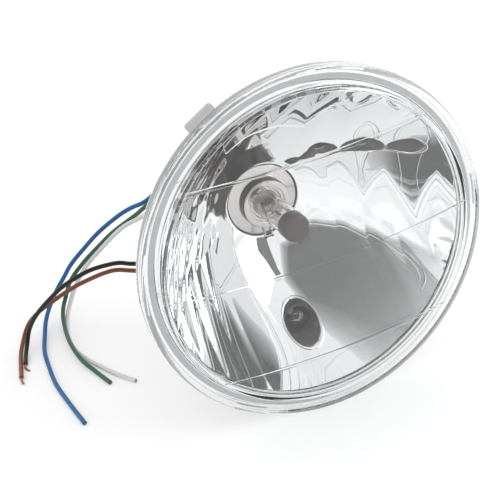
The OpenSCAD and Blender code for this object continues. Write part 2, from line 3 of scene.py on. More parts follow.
import logging
import math
from dataclasses import dataclass
from enum import Enum
from typing import Iterable, Sequence

import bmesh
import bpy
import numpy as np
from mathutils import Matrix, Vector


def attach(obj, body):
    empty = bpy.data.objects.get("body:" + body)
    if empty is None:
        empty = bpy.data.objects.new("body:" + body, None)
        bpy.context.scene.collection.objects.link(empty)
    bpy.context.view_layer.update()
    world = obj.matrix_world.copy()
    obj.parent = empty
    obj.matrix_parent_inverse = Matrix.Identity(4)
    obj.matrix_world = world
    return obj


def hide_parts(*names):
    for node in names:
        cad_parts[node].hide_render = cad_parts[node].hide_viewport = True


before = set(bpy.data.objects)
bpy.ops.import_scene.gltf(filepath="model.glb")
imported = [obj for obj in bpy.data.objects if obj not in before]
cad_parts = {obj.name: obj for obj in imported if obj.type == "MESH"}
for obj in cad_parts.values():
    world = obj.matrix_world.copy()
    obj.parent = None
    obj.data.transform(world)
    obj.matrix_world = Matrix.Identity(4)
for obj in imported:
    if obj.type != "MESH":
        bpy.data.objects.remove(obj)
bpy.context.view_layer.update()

log = logging.getLogger("headlight")
MM = 0.001
Point = tuple[float, float, float]
Spot = tuple[float, float]
Profile = list[Spot]
Outline = tuple[Spot, ...]
Face = list[int]
Inputs = dict[str | int, object]
Colour = tuple[float, float, float, float]
Piece = bpy.types.Object
Tree = bpy.types.NodeTree
Node = bpy.types.Node
Socket = bpy.types.NodeSocket


class Edge(Enum):
    """How the edges of a mesh are shaded, as the angle in degrees above which they stay sharp."""

    SOFT = 70.0
    CRISP = 28.0
    FACETED = 14.0


class Coat(Enum):
    """The surface effects that a finish can carry."""

    BARE = "bare"
    BRUSHED = "brushed"
    MOULDED = "moulded"


# Shared geometry


def place_object(name: str, data: bpy.types.ID) -> Piece:
    """Put a mesh, curve, lamp or camera into the scene as a new object."""
    obj = bpy.data.objects.new(name, data)
    bpy.context.scene.collection.objects.link(obj)
    return obj


def make_object(name: str, verts: Sequence[Point], faces: Sequence[Sequence[int]], edge: Edge) -> Piece:
    """Make a mesh object from points in millimetres.

    Args:
        name: Name of the piece.
        verts: Points in the frame of the lamp, in millimetres.
        faces: Faces as lists of point numbers.
        edge: Which edges stay sharp.

    Returns:
        The new object, linked to the scene.
    """
    mesh = bpy.data.meshes.new(name)
    mesh.from_pydata([[c * MM for c in v] for v in verts], [], [list(f) for f in faces])
    mesh.validate()
    turn_out(mesh)
    obj = place_object(name, mesh)
    smooth(obj, edge)
    return obj


def turn_out(mesh: bpy.types.Mesh) -> None:
    """Turn the faces of a closed piece outwards, and those of an open skin to the front.

    Args:
        mesh: The mesh to turn.
    """
    bm = bmesh.new()
    bm.from_mesh(mesh)
    bmesh.ops.recalc_face_normals(bm, faces=bm.faces[:])
    if any(edge.is_boundary for edge in bm.edges):
        wrong = sum(face.normal.y * face.calc_area() for face in bm.faces) > 0
    else:
        wrong = bm.calc_volume(signed=True) < 0
    if wrong:
        bmesh.ops.reverse_faces(bm, faces=bm.faces[:])
    bm.to_mesh(mesh)
    bm.free()
    mesh.update()


def smooth(obj: Piece, edge: Edge) -> None:
    """Shade a mesh smooth and keep its sharp edges.

    Args:
        obj: The mesh object.
        edge: Which edges stay sharp.
    """
    mesh = obj.data
    mesh.polygons.foreach_set("use_smooth", [True] * len(mesh.polygons))
    mesh.set_sharp_from_angle(angle=math.radians(edge.value))
    mesh.update()


def band(first: Sequence[int], second: Sequence[int], around: bool = True) -> list[Face]:
    """Return the faces between two rows of as many points.

    Args:
        first: Point numbers of one row. A pole is the same number all along.
        second: Point numbers of the next row.
        around: Whether the last point joins the first one.

    Returns:
        The faces, without the doubled points at a pole.
    """
    n = len(first)
    steps = range(n if around else n - 1)
    quads = [[first[k], first[(k + 1) % n], second[(k + 1) % n], second[k]] for k in steps]
    tidy = [list(dict.fromkeys(quad)) for quad in quads]
    return [face for face in tidy if len(face) > 2]


def grid(rows: Sequence[Sequence[int]], around: bool = True) -> list[Face]:
    """Return the faces between each row of points and the next one."""
    return [face for first, second in zip(rows, rows[1:]) for face in band(first, second, around)]


def number_rows(count: int, columns: int, first: int = 0) -> list[range]:
    """Return the point numbers of rows of points that were made one after the other."""
    return [range(first + i * columns, first + (i + 1) * columns) for i in range(count)]


def circle(radius: float, depth: float, angles: Iterable[float], centre: Spot = (0.0, 0.0)) -> list[Point]:
    """Return points round the optical axis or an axis beside it, at angles in radians."""
    return [(centre[0] + radius * math.cos(a), depth, centre[1] + radius * math.sin(a)) for a in angles]


def revolve(
    name: str,
    profile: Profile,
    edge: Edge = Edge.CRISP,
    turns: int = 128,
    centre: Spot = (0.0, 0.0),
) -> Piece:
    """Turn a closed or axis to axis profile round the optical axis.

    Args:
        name: Name of the piece.
        profile: Points of radius and depth, in order along the outline.
        edge: Which edges stay sharp.
        turns: Number of steps round the axis.
        centre: Place of the axis in X and Z.

    Returns:
        The turned object.
    """
    on_axis = 1e-6
    angles = [2 * math.pi * k / turns for k in range(turns)]
    verts: list[Point] = []
    rings: list[Sequence[int]] = []
    for radius, depth in profile:
        if radius < on_axis:
            rings.append([len(verts)] * turns)
            verts.append((centre[0], depth, centre[1]))
        else:
            rings.append(range(len(verts), len(verts) + turns))
            verts += circle(radius, depth, angles, centre)
    if max(profile[0][0], profile[-1][0]) > on_axis:
        rings.append(rings[0])
    return make_object(name, verts, grid(rings), edge)


def prism(name: str, front: Sequence[Point], back: Sequence[Point], ends: list[Face] | None = None) -> Piece:
    """Join two outlines of as many points to a closed block.

    Args:
        name: Name of the piece.
        front: Points of the front outline, in order.
        back: Points of the back outline, in the same order.
        ends: Faces that close the front outline, where one face alone would fold over.

    Returns:
        The block.
    """
    n = len(front)
    covers = ends or [list(range(n))]
    faces = covers + [[k + n for k in reversed(face)] for face in covers]
    faces += [[k, (k + 1) % n, (k + 1) % n + n, k + n] for k in range(n)]
    return make_object(name, [*front, *back], faces, Edge.CRISP)


def arc(cx: float, cy: float, radius: float, start: float, end: float, steps: int) -> Profile:
    """Return points of a round corner in a profile, from one angle to another in degrees."""
    angles = [math.radians(start + (end - start) * i / steps) for i in range(steps + 1)]
    return [(cx + radius * math.cos(a), cy + radius * math.sin(a)) for a in angles]


def smooth_route(points: Sequence[Point], steps: int) -> list[Point]:
    """Return a smooth curve through the points, with a few steps between two of them.

    Args:
        points: Points that the route goes through.
        steps: Steps between two points.

    Returns:
        The points of the curve.
    """
    p = [np.array(q, float) for q in points]
    out: list[Point] = []
    for i in range(len(p) - 1):
        a, b, c, d = p[max(i - 1, 0)], p[i], p[i + 1], p[min(i + 2, len(p) - 1)]
        for j in range(steps):
            t = j / steps
            q = 2 * b + (c - a) * t + (2 * a - 5 * b + 4 * c - d) * t * t + (3 * b - a - 3 * c + d) * t**3
            out.append(tuple(0.5 * q))
    out.append(tuple(p[-1]))
    return out


def round_curve(name: str, points: Sequence[Point], diameter: float, sides: int = 12) -> Piece:
    """Make a round wire along a line of points.

    Args:
        name: Name of the piece.
        points: Points in millimetres.
        diameter: Diameter in millimetres.
        sides: Sides of the section, an even number of at least 4.

    Returns:
        The curve object.
    """
    curve = bpy.data.curves.new(name, "CURVE")
    curve.dimensions = "3D"
    curve.bevel_depth = diameter / 2 * MM
    curve.bevel_resolution = (sides - 4) // 2
    curve.use_fill_caps = True
    spline = curve.splines.new("POLY")
    spline.points.add(len(points) - 1)
    for target, point in zip(spline.points, points):
        target.co = (point[0] * MM, point[1] * MM, point[2] * MM, 1.0)
    spline.use_smooth = True
    return place_object(name, curve)


# Shared nodes and surface effects


def rgb(red: float, green: float, blue: float) -> Colour:
    """Return an opaque colour."""
    return (red, green, blue, 1.0)


def fill(tree: Tree, node: Node, inputs: Inputs) -> None:
    """Link sockets to the inputs of a node, or set the values of those inputs.

    Args:
        tree: The tree of the node.
        node: The node.
        inputs: Sockets or values, by the name or number of the input.
    """
    for key, value in inputs.items():
        if isinstance(value, bpy.types.NodeSocket):
            tree.links.new(value, node.inputs[key])
        else:
            node.inputs[key].default_value = value


def add_node(tree: Tree, kind: str, inputs: Inputs | None = None, **settings: object) -> Node:
    """Add a node to a tree.

    Args:
        tree: The tree.
        kind: Kind of the node.
        inputs: Sockets or values for its inputs.
        settings: Properties of the node.

    Returns:
        The new node.
    """
    node = tree.nodes.new(kind)
    for name, value in settings.items():
        setattr(node, name, value)
    fill(tree, node, inputs or {})
    return node


def maths(tree: Tree, operation: str, first: object, second: object, clamp: bool = False) -> Socket:
    """Return the result of a math node on two sockets or numbers."""
    node = add_node(tree, "ShaderNodeMath", {0: first, 1: second}, operation=operation, use_clamp=clamp)
    return node.outputs[0]


def ramp(tree: Tree, value: Socket, low: float, high: float) -> Socket:
    """Return a value from 0 to 1 spread from low to high."""
    node = add_node(tree, "ShaderNodeMapRange", {"Value": value, "To Min": low, "To Max": high})
    return node.outputs["Result"]


def effect_mask(tree: Tree, group: Tree, inputs: Inputs | None = None) -> Socket:
    """Return the mask of a shared effect group."""
    return add_node(tree, "ShaderNodeGroup", inputs, node_tree=group).outputs["Mask"]


def start_material(name: str) -> tuple[bpy.types.Material, Tree, Node]:
    """Return a new material, its tree and its main shader."""
    mat = bpy.data.materials.new(name)
    mat.use_nodes = True
    return mat, mat.node_tree, mat.node_tree.nodes["Principled BSDF"]


class Effects:
    """Shader node groups that several finishes share, each of which gives one mask."""

    def __init__(self) -> None:
        """Build each group once."""
        self.grain = self._grain()
        self.wear = self._wear()
        self.dust = self._dust()
        self.brushing = self._brushing()

    @staticmethod
    def _group(name: str, inputs: dict[str, float]) -> tuple[Tree, Node, Node]:
        """Start a node group with float inputs and a mask.

        Args:
            name: Name of the group.
            inputs: Input names and their first values.

        Returns:
            The group, its input node and its output node.
        """
        tree = bpy.data.node_groups.new(name, "ShaderNodeTree")
        for label, value in inputs.items():
            socket = tree.interface.new_socket(name=label, in_out="INPUT", socket_type="NodeSocketFloat")
            socket.default_value = value
        tree.interface.new_socket(name="Mask", in_out="OUTPUT", socket_type="NodeSocketFloat")
        return tree, tree.nodes.new("NodeGroupInput"), tree.nodes.new("NodeGroupOutput")

    def _grain(self) -> Tree:
        """Return fine moulded grain."""
        tree, start, end = self._group("moulded_grain", {"Scale": 900.0})
        place = add_node(tree, "ShaderNodeTexCoord").outputs["Object"]
        inputs = {"Vector": place, "Scale": start.outputs["Scale"], "Detail": 3.0}
        noise = add_node(tree, "ShaderNodeTexNoise", inputs)
        fill(tree, end, {"Mask": noise.outputs["Fac"]})
        return tree

    def _wear(self) -> Tree:
        """Return a mask that is bright on worn outer edges."""
        tree, start, end = self._group("edge_wear", {"Width": 0.0006, "Amount": 0.5})
        bevel = add_node(tree, "ShaderNodeBevel", {"Radius": start.outputs["Width"]}, samples=4)
        flat = add_node(tree, "ShaderNodeNewGeometry").outputs["Normal"]
        inputs = {0: bevel.outputs["Normal"], 1: flat}
        dot = add_node(tree, "ShaderNodeVectorMath", inputs, operation="DOT_PRODUCT")
        steepness = 6.0
        turn = maths(tree, "SUBTRACT", 1.0, dot.outputs["Value"])
        grow = maths(tree, "MULTIPLY", turn, steepness, clamp=True)
        fill(tree, end, {"Mask": maths(tree, "MULTIPLY", grow, start.outputs["Amount"])})
        return tree

    def _dust(self) -> Tree:
        """Return a patchy mask of fine dust and handling marks."""
        tree, start, end = self._group("fine_dust", {"Scale": 60.0, "Amount": 0.3})
        place = add_node(tree, "ShaderNodeTexCoord").outputs["Object"]
        inputs = {"Vector": place, "Scale": start.outputs["Scale"], "Detail": 6.0, "Roughness": 0.62}
        noise = add_node(tree, "ShaderNodeTexNoise", inputs)
        spread = {"Value": noise.outputs["Fac"], "From Min": 0.45, "From Max": 0.75}
        patches = add_node(tree, "ShaderNodeMapRange", spread)
        fill(tree, end, {"Mask": maths(tree, "MULTIPLY", patches.outputs["Result"], start.outputs["Amount"])})
        return tree

    def _brushing(self) -> Tree:
        """Return turning marks round the optical axis."""
        tree, start, end = self._group("turning_marks", {"Scale": 1500.0})
        place = add_node(tree, "ShaderNodeTexCoord").outputs["Object"]
        split = add_node(tree, "ShaderNodeSeparateXYZ", {0: place})
        flat = add_node(tree, "ShaderNodeCombineXYZ", {"X": split.outputs["X"], "Z": split.outputs["Z"]})
        radius = add_node(tree, "ShaderNodeVectorMath", {0: flat.outputs[0]}, operation="LENGTH")
        join = add_node(tree, "ShaderNodeCombineXYZ", {"X": radius.outputs["Value"], "Y": split.outputs["Y"]})
        inputs = {"Vector": join.outputs[0], "Scale": start.outputs["Scale"], "Detail": 2.0}
        noise = add_node(tree, "ShaderNodeTexNoise", inputs)
        fill(tree, end, {"Mask": noise.outputs["Fac"]})
        return tree


@dataclass(frozen=True)
class Finish:
    """One opaque finish: colour, gloss, grain, wear and dust."""

    name: str
    slot: str
    colour: Colour
    roughness: float
    metallic: float = 0.0
    coat: Coat = Coat.MOULDED
    grain_scale: float = 900.0
    grain_depth: float = 0.00003
    shade: float = 0.12
    worn: Colour | None = None
    dust: float = 0.12

    def build(self, effects: Effects) -> bpy.types.Material:
        """Make the material.

        Args:
            effects: The shared effect groups.

        Returns:
            The finished material.
        """
        mat, tree, shader = start_material(self.name)
        marks = effects.brushing if self.coat is Coat.BRUSHED else effects.grain
        grain = effect_mask(tree, marks, {"Scale": self.grain_scale})
        dust = effect_mask(tree, effects.dust, {"Amount": self.dust})
        colour = self._mix(tree, grain, self._tone(1 - self.shade), self._tone(1 + self.shade))
        if self.worn is not None:
            colour = self._mix(tree, effect_mask(tree, effects.wear), colour, self.worn)
        colour = self._mix(tree, dust, colour, self._tone(0.55, lift=0.3))
        rough = ramp(tree, dust, max(0.0, self.roughness - 0.05), min(1.0, self.roughness + 0.25))
        fill(tree, shader, {"Base Color": colour, "Metallic": self.metallic, "Roughness": rough})
        if self.coat is not Coat.BARE:
            inputs = {"Strength": 0.6, "Distance": self.grain_depth, "Height": grain}
            fill(tree, shader, {"Normal": add_node(tree, "ShaderNodeBump", inputs).outputs["Normal"]})
        mat.diffuse_color = self.colour
        return mat

    def _tone(self, factor: float, lift: float = 0.0) -> Colour:
        """Return the colour, lighter or darker."""
        return tuple(min(1.0, c * factor + lift) for c in self.colour[:3]) + (1.0,)

    @staticmethod
    def _mix(tree: Tree, mask: Socket, low: object, high: object) -> Socket:
        """Mix two colours or colour sockets by a mask.

        Args:
            tree: The material's tree.
            mask: Socket of the mask.
            low: Colour or socket where the mask is 0.
            high: Colour or socket where the mask is 1.

        Returns:
            The socket of the mixed colour.
        """
        return add_node(tree, "ShaderNodeMix", {"Factor": mask, 6: low, 7: high}, data_type="RGBA").outputs[2]


@dataclass(frozen=True)
class Glass:
    """Clear glass with faint waves from its mould, which lets light through to what it covers."""

    name: str
    slot: str
    colour: Colour
    ior: float = 1.5
    waves: float = 0.000006
    wave_scale: float = 60.0
    dust: float = 0.02
    dust_roughness: float = 0.2

    def build(self, effects: Effects) -> bpy.types.Material:
        """Make the material.

        Args:
            effects: The shared effect groups.

        Returns:
            The finished material.
        """
        mat, tree, shader = start_material(self.name)
        dust = effect_mask(tree, effects.dust, {"Amount": self.dust})
        grain = effect_mask(tree, effects.grain, {"Scale": self.wave_scale})
        inputs = {"Strength": 1.0, "Distance": self.waves, "Height": grain}
        bump = add_node(tree, "ShaderNodeBump", inputs)
        fill(tree, shader, {
            "Base Color": self.colour,
            "Metallic": 0.0,
            "Transmission Weight": 1.0,
            "IOR": self.ior,
            "Roughness": ramp(tree, dust, 0.0, self.dust_roughness),
            "Normal": bump.outputs["Normal"],
        })
        path = add_node(tree, "ShaderNodeLightPath")
        passing = maths(tree, "MAXIMUM", path.outputs["Is Shadow Ray"], path.outputs["Is Diffuse Ray"])
        clear = add_node(tree, "ShaderNodeBsdfTransparent", {"Color": self.colour})
        inputs = {"Fac": passing, 1: shader.outputs[0], 2: clear.outputs[0]}
        mix = add_node(tree, "ShaderNodeMixShader", inputs)
        fill(tree, tree.nodes["Material Output"], {"Surface": mix.outputs[0]})
        mat.diffuse_color = self.colour[:3] + (0.3,)
        return mat


class Palette:
    """All finishes of the lamp, built once each."""

    def __init__(self) -> None:
        """Build the effect groups and start with no material."""
        self.effects = Effects()
        self._made: dict[str, bpy.types.Material] = {}

    def get(self, finish: Finish | Glass) -> bpy.types.Material:
        """Return the material of a finish, built on first use."""
        if finish.name not in self._made:
            self._made[finish.name] = finish.build(self.effects)
        return self._made[finish.name]

    def dress(self, obj: Piece, finish: Finish | Glass, *nodes: str) -> Piece:
        """Give a new piece its finish, its body and the CAD nodes that it stands for.

        Args:
            obj: The new piece.
            finish: Its finish.
            nodes: CAD nodes that it replaces.

        Returns:
            The same piece.
        """
        obj.data.materials.clear()
        obj.data.materials.append(self.get(finish))
        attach(obj, "root")
        if nodes:
            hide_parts(*nodes)
        log.info("%s: %s", obj.name, finish.name)
        return obj

    def repaint(self, node: str, finish: Finish | Glass) -> None:
        """Give a CAD node that stays in view a better material.

        Args:
            node: Name of the node.
            finish: Its finish.
        """
        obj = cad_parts[node]
        material = self.get(finish)
        if not obj.material_slots:
            obj.data.materials.append(material)
        for slot in obj.material_slots:
            slot.material = material
        log.info("%s: %s", node, finish.name)


def sheath(name: str, colour: Colour, shade: float, roughness: float = 0.42, dust: float = 0.03) -> Finish:
    """Return the smooth skin of a lead."""
    names = (name + "_sheath_skin", name + "_sheath")
    return Finish(*names, colour, roughness, grain_scale=700.0, shade=shade, dust=dust)


CLEAR_GLASS = Glass("clear_lens_glass", "clear_glass", rgb(0.975, 0.985, 0.985))
BULB_GLASS = Glass(
    "bulb_envelope_glass", "bulb_glass", rgb(0.97, 0.96, 0.95), waves=0.00005, wave_scale=160.0
)
MIRROR = Finish(
    "vacuum_silvered_mirror", "mirror", rgb(0.9, 0.905, 0.91), 0.05, 1.0, Coat.BARE, shade=0.01, dust=0.03
)
BOWL_BACK = Finish(
    "grey_moulded_bowl", "mirror", rgb(0.55, 0.55, 0.55), 0.42,
    grain_scale=700.0, shade=0.05, worn=rgb(0.7, 0.7, 0.7),
)
# Painted shade: the dark brown tube behind the parking lamp window stands in for the shade inside that
# recess.
WINDOW_SHADE = Finish("painted_window_shade", "mirror", rgb(0.12, 0.105, 0.095), 0.3, grain_scale=700.0, shade=0.1)
PLATED = Finish(
    "plated_bulb_ring", "plated_steel", rgb(0.6, 0.57, 0.555), 0.1, 1.0, Coat.BRUSHED,
    grain_scale=1200.0, shade=0.1,
)
# Painted shade: this near-black band on the side of the drum stands in for the shade on it and darkens its
# reflection in the mirror.
DRUM_SHADE = Finish(
    "painted_drum_shade", "plated_steel", rgb(0.055, 0.048, 0.044), 0.22, 0.5, Coat.BARE, shade=0.03, dust=0.0
)
SHIELD = Finish(
    "bright_shield", "plated_steel", rgb(0.5, 0.48, 0.46), 0.25, 1.0, Coat.BRUSHED, grain_scale=2500.0
)
DARK_CAP = Finish(
    "baked_dark_cap", "dark_cap", rgb(0.075, 0.06, 0.052), 0.42, 0.0, Coat.BARE, shade=0.03, dust=0.0
)
TUNGSTEN = Finish("dark_tungsten", "tungsten", rgb(0.16, 0.15, 0.145), 0.35, 0.9, grain_scale=3000.0)
FOOT = Finish("pale_bulb_foot", "bulb_glass", rgb(0.62, 0.55, 0.5), 0.3, shade=0.06)
WIRE = Finish("nickel_wire", "tungsten", rgb(0.5, 0.47, 0.44), 0.25, 0.9, grain_scale=3000.0)
CERAMIC = Finish("pale_insulator", "ceramic", rgb(0.72, 0.7, 0.64), 0.55, grain_scale=600.0, shade=0.05)
BRASS = Finish(
    "tinned_brass", "brass", rgb(0.62, 0.48, 0.24), 0.3, 1.0, Coat.BRUSHED,
    grain_scale=2000.0, worn=rgb(0.8, 0.7, 0.5),
)
RUBBER = Finish(
    "black_rubber_skin", "black_rubber", rgb(0.022, 0.022, 0.024), 0.6,
    grain_scale=500.0, grain_depth=0.00008, dust=0.25,
)
SEALANT = Finish(
    "grey_sealing_bead", "grey_sealant", rgb(0.55, 0.56, 0.57), 0.45, grain_scale=300.0, shade=0.04
)
PLASTIC = Finish(
    "black_moulded_plastic", "black_plastic", rgb(0.03, 0.03, 0.032), 0.42,
    grain_scale=1100.0, worn=rgb(0.09, 0.09, 0.09), dust=0.15,
)
BLUE = sheath("blue", rgb(0.006, 0.12, 0.35), 0.06)
GREEN = sheath("green", rgb(0.032, 0.128, 0.052), 0.06, roughness=0.4)
WHITE = sheath("white", rgb(0.82, 0.8, 0.805), 0.03, roughness=0.4)
BLACK = sheath("black", rgb(0.007, 0.007, 0.008), 0.1, dust=0.02)
BROWN = sheath("brown", rgb(0.23, 0.07, 0.032), 0.08)
COPPER = Finish(
    "bare_copper_strands", "copper", rgb(0.42, 0.18, 0.11), 0.34, 1.0, grain_scale=1800.0, shade=0.2
)


# Studio


@dataclass(frozen=True)
class Card:
    """A dull card around the camera: outlines as bearings and heights in degrees, each with its tone."""

    name: str
    outlines: tuple[Outline, ...]
    tones: tuple[float, ...]
    far: float = 1400.0


DARK_CORNERS = (
    (-57.0, 15.0), (-31.0, 15.0), (-20.0, 21.0), (-9.0, 29.0), (4.0, 31.0), (18.0, 46.0),
    (12.0, 58.0), (-20.0, 63.0), (-60.0, 60.0), (-68.0, 45.0), (-62.0, 28.0),
)
GREY_CORNERS = (
    (-82.0, 9.0), (-29.0, 11.0), (-16.0, 18.0), (-5.0, 26.0), (8.0, 28.0), (24.0, 46.0),
    (18.0, 64.0), (-20.0, 71.0), (-66.0, 69.0), (-84.0, 48.0), (-87.0, 24.0),
)
# The soft outline is this many times as far from the dark one as the grey one is.
SOFT_REACH = 1.8
SOFT_CORNERS = tuple(
    tuple(SOFT_REACH * grey[axis] + (1 - SOFT_REACH) * dark[axis] for axis in (0, 1))
    for grey, dark in zip(GREY_CORNERS, DARK_CORNERS)
)
SMALL_CORNERS = (
    (22.0, 7.0), (33.0, 7.0), (38.0, 20.0), (35.0, 30.0), (35.0, 40.0), (28.0, 42.0), (25.0, 28.0),
)


@dataclass
class Studio:
    """Pale floor, soft light and the camera of the photograph."""

    floor_z: float = -89.05
    floor_half: float = 3000.0
    floor_lift: float = 0.29
    eye: Point = (-248.0, -612.1, 351.3)
    right: Point = (0.9017, -0.4033, -0.1561)
    down: Point = (-0.3181, -0.3742, -0.8711)
    ahead: Point = (0.2929, 0.8351, -0.4657)
    focal_mm: float = 113.8
    world_strength: float = 0.85
    middle: Point = (0.0, 30.0, 0.0)
    cards: tuple[Card, ...] = (
        Card("large_flag", (DARK_CORNERS, GREY_CORNERS, SOFT_CORNERS), (0.13, 0.42, 0.85)),
        Card("small_flag", (SMALL_CORNERS,), (0.16,), 1200.0),
    )

    @staticmethod
    def seen(tree: Tree) -> Socket:
        """Tell the rays that look at the background from those that light the object.

        Args:
            tree: Node tree of the floor or the world.

        Returns:
            A value that is 1 for camera, glossy and transmission rays.
        """
        path = add_node(tree, "ShaderNodeLightPath")
        value = path.outputs["Is Camera Ray"]
        for ray in ("Is Glossy Ray", "Is Transmission Ray"):
            value = maths(tree, "MAXIMUM", value, path.outputs[ray])
        return value

    def card(self, card: Card) -> None:
        """Hang one dull card, which only the mirror and the glass show.

        Args:
            card: Its outlines, tones and distance.
        """
        n = len(card.outlines[0])
        middle = tuple(sum(corner[axis] for corner in card.outlines[0]) / n for axis in (0, 1))
        corners: list[Vector] = []
        for bearing, height in (middle, *(c for outline in card.outlines for c in outline)):
            turn, lift = math.radians(bearing), math.radians(height)
            out = Vector((math.sin(turn) * math.cos(lift), -math.cos(turn) * math.cos(lift), math.sin(lift)))
            corners.append(Vector(self.middle) + out * card.far)
        rings = number_rows(len(card.outlines), n, 1)
        mesh = bpy.data.meshes.new(card.name)
        mesh.from_pydata([tuple(c * MM) for c in corners], [], band([0] * n, rings[0]) + grid(rings))
        tones = mesh.color_attributes.new("card_tone", "FLOAT_COLOR", "POINT")
        for k, point in enumerate(tones.data):
            tone = card.tones[max(0, (k - 1) // n)]
            point.color = rgb(tone, tone, tone)
        obj = place_object(card.name, mesh)
        obj.visible_camera = False
        obj.visible_diffuse = False
        obj.visible_shadow = False
        mat, tree, shader = start_material(card.name + "_felt")
        felt = add_node(tree, "ShaderNodeVertexColor", layer_name="card_tone").outputs["Color"]
        fill(tree, shader, {"Base Color": felt, "Roughness": 1.0, "Specular IOR Level": 0.0})
        obj.data.materials.append(mat)

    def camera(self) -> None:
        """Place the camera as it stood for the photograph."""
        data = bpy.data.cameras.new("photo_camera")
        data.lens = self.focal_mm
        data.sensor_width = 36.0
        data.clip_start = 0.01
        data.clip_end = 20.0
        obj = place_object("photo_camera", data)
        axes = Matrix((Vector(self.right), -Vector(self.down), -Vector(self.ahead)))
        obj.matrix_world = Matrix.Translation(Vector(self.eye) * MM) @ axes.transposed().to_4x4()
        bpy.context.scene.camera = obj

    def floor(self) -> None:
        """Lay the pale floor, which keeps the soft shadow of the lamp."""
        half = self.floor_half
        corners = [(-half, -half), (half, -half), (half, half), (-half, half)]
        mesh = bpy.data.meshes.new("studio_floor")
        mesh.from_pydata([(x * MM, y * MM, self.floor_z * MM) for x, y in corners], [], [(0, 1, 2, 3)])
        obj = place_object("studio_floor", mesh)
        mat, tree, shader = start_material("pale_floor")
        fill(tree, shader, {
            "Base Color": rgb(0.88, 0.88, 0.88),
            "Roughness": 0.9,
            "Specular IOR Level": 0.0,
            "Emission Color": rgb(1.0, 1.0, 1.0),
            "Emission Strength": maths(tree, "MULTIPLY", self.seen(tree), self.floor_lift),
        })
        obj.data.materials.append(mat)

    def world(self) -> None:
        """Light the studio from a white surround."""
        world = bpy.data.worlds.new("white_surround")
        bpy.context.scene.world = world
        world.use_nodes = True
        tree = world.node_tree
        level = ramp(tree, self.seen(tree), self.world_strength, 1.0)
        fill(tree, tree.nodes["Background"], {"Color": rgb(1.0, 1.0, 1.0), "Strength": level})

    def lamp(self, name: str, place: Point, target: Point, size: float, watts: float) -> None:
        """Hang one soft lamp.

        Args:
            name: Name of the lamp.
            place: Place in millimetres.
            target: Point that it faces, in millimetres.
            size: Side of its face in metres.
            watts: Its power.
        """
        data = bpy.data.lights.new(name, "AREA")
        data.size = size
        data.energy = watts
        obj = place_object(name, data)
        spot = Vector(place) * MM
        aim = (Vector(target) * MM - spot).to_track_quat("-Z", "Y").to_matrix().to_4x4()
        obj.matrix_world = Matrix.Translation(spot) @ aim
        obj.visible_camera = False

    def build(self) -> None:
        """Set the whole studio."""
        bpy.context.scene.view_settings.view_transform = "Standard"
        self.camera()
        self.floor()
        self.world()
        for card in self.cards:
            self.card(card)
        place, target = (1030.0, -865.0, 573.0), (0.0, 40.0, 0.0)
        self.lamp("soft_side", place, target, size=1.0, watts=5.0)


# Sub-assemblies


@dataclass
class Lead:
    """One free lead: its colour and its route in millimetres."""

    node: str
    finish: Finish
    points: list[Point]
    diameter: float = 2.5
    steps: int = 6

    def build(self, palette: Palette, extras: Sequence[Piece]) -> Piece:
        """Args:
            palette: The finishes.
            extras: Pieces that go with the lead. Not used.

        Returns:
            The lead.
        """
        route = smooth_route(self.points, self.steps)
        obj = round_curve(self.node + "_wire", route, self.diameter)
        palette.dress(obj, self.finish, self.node)
        return obj


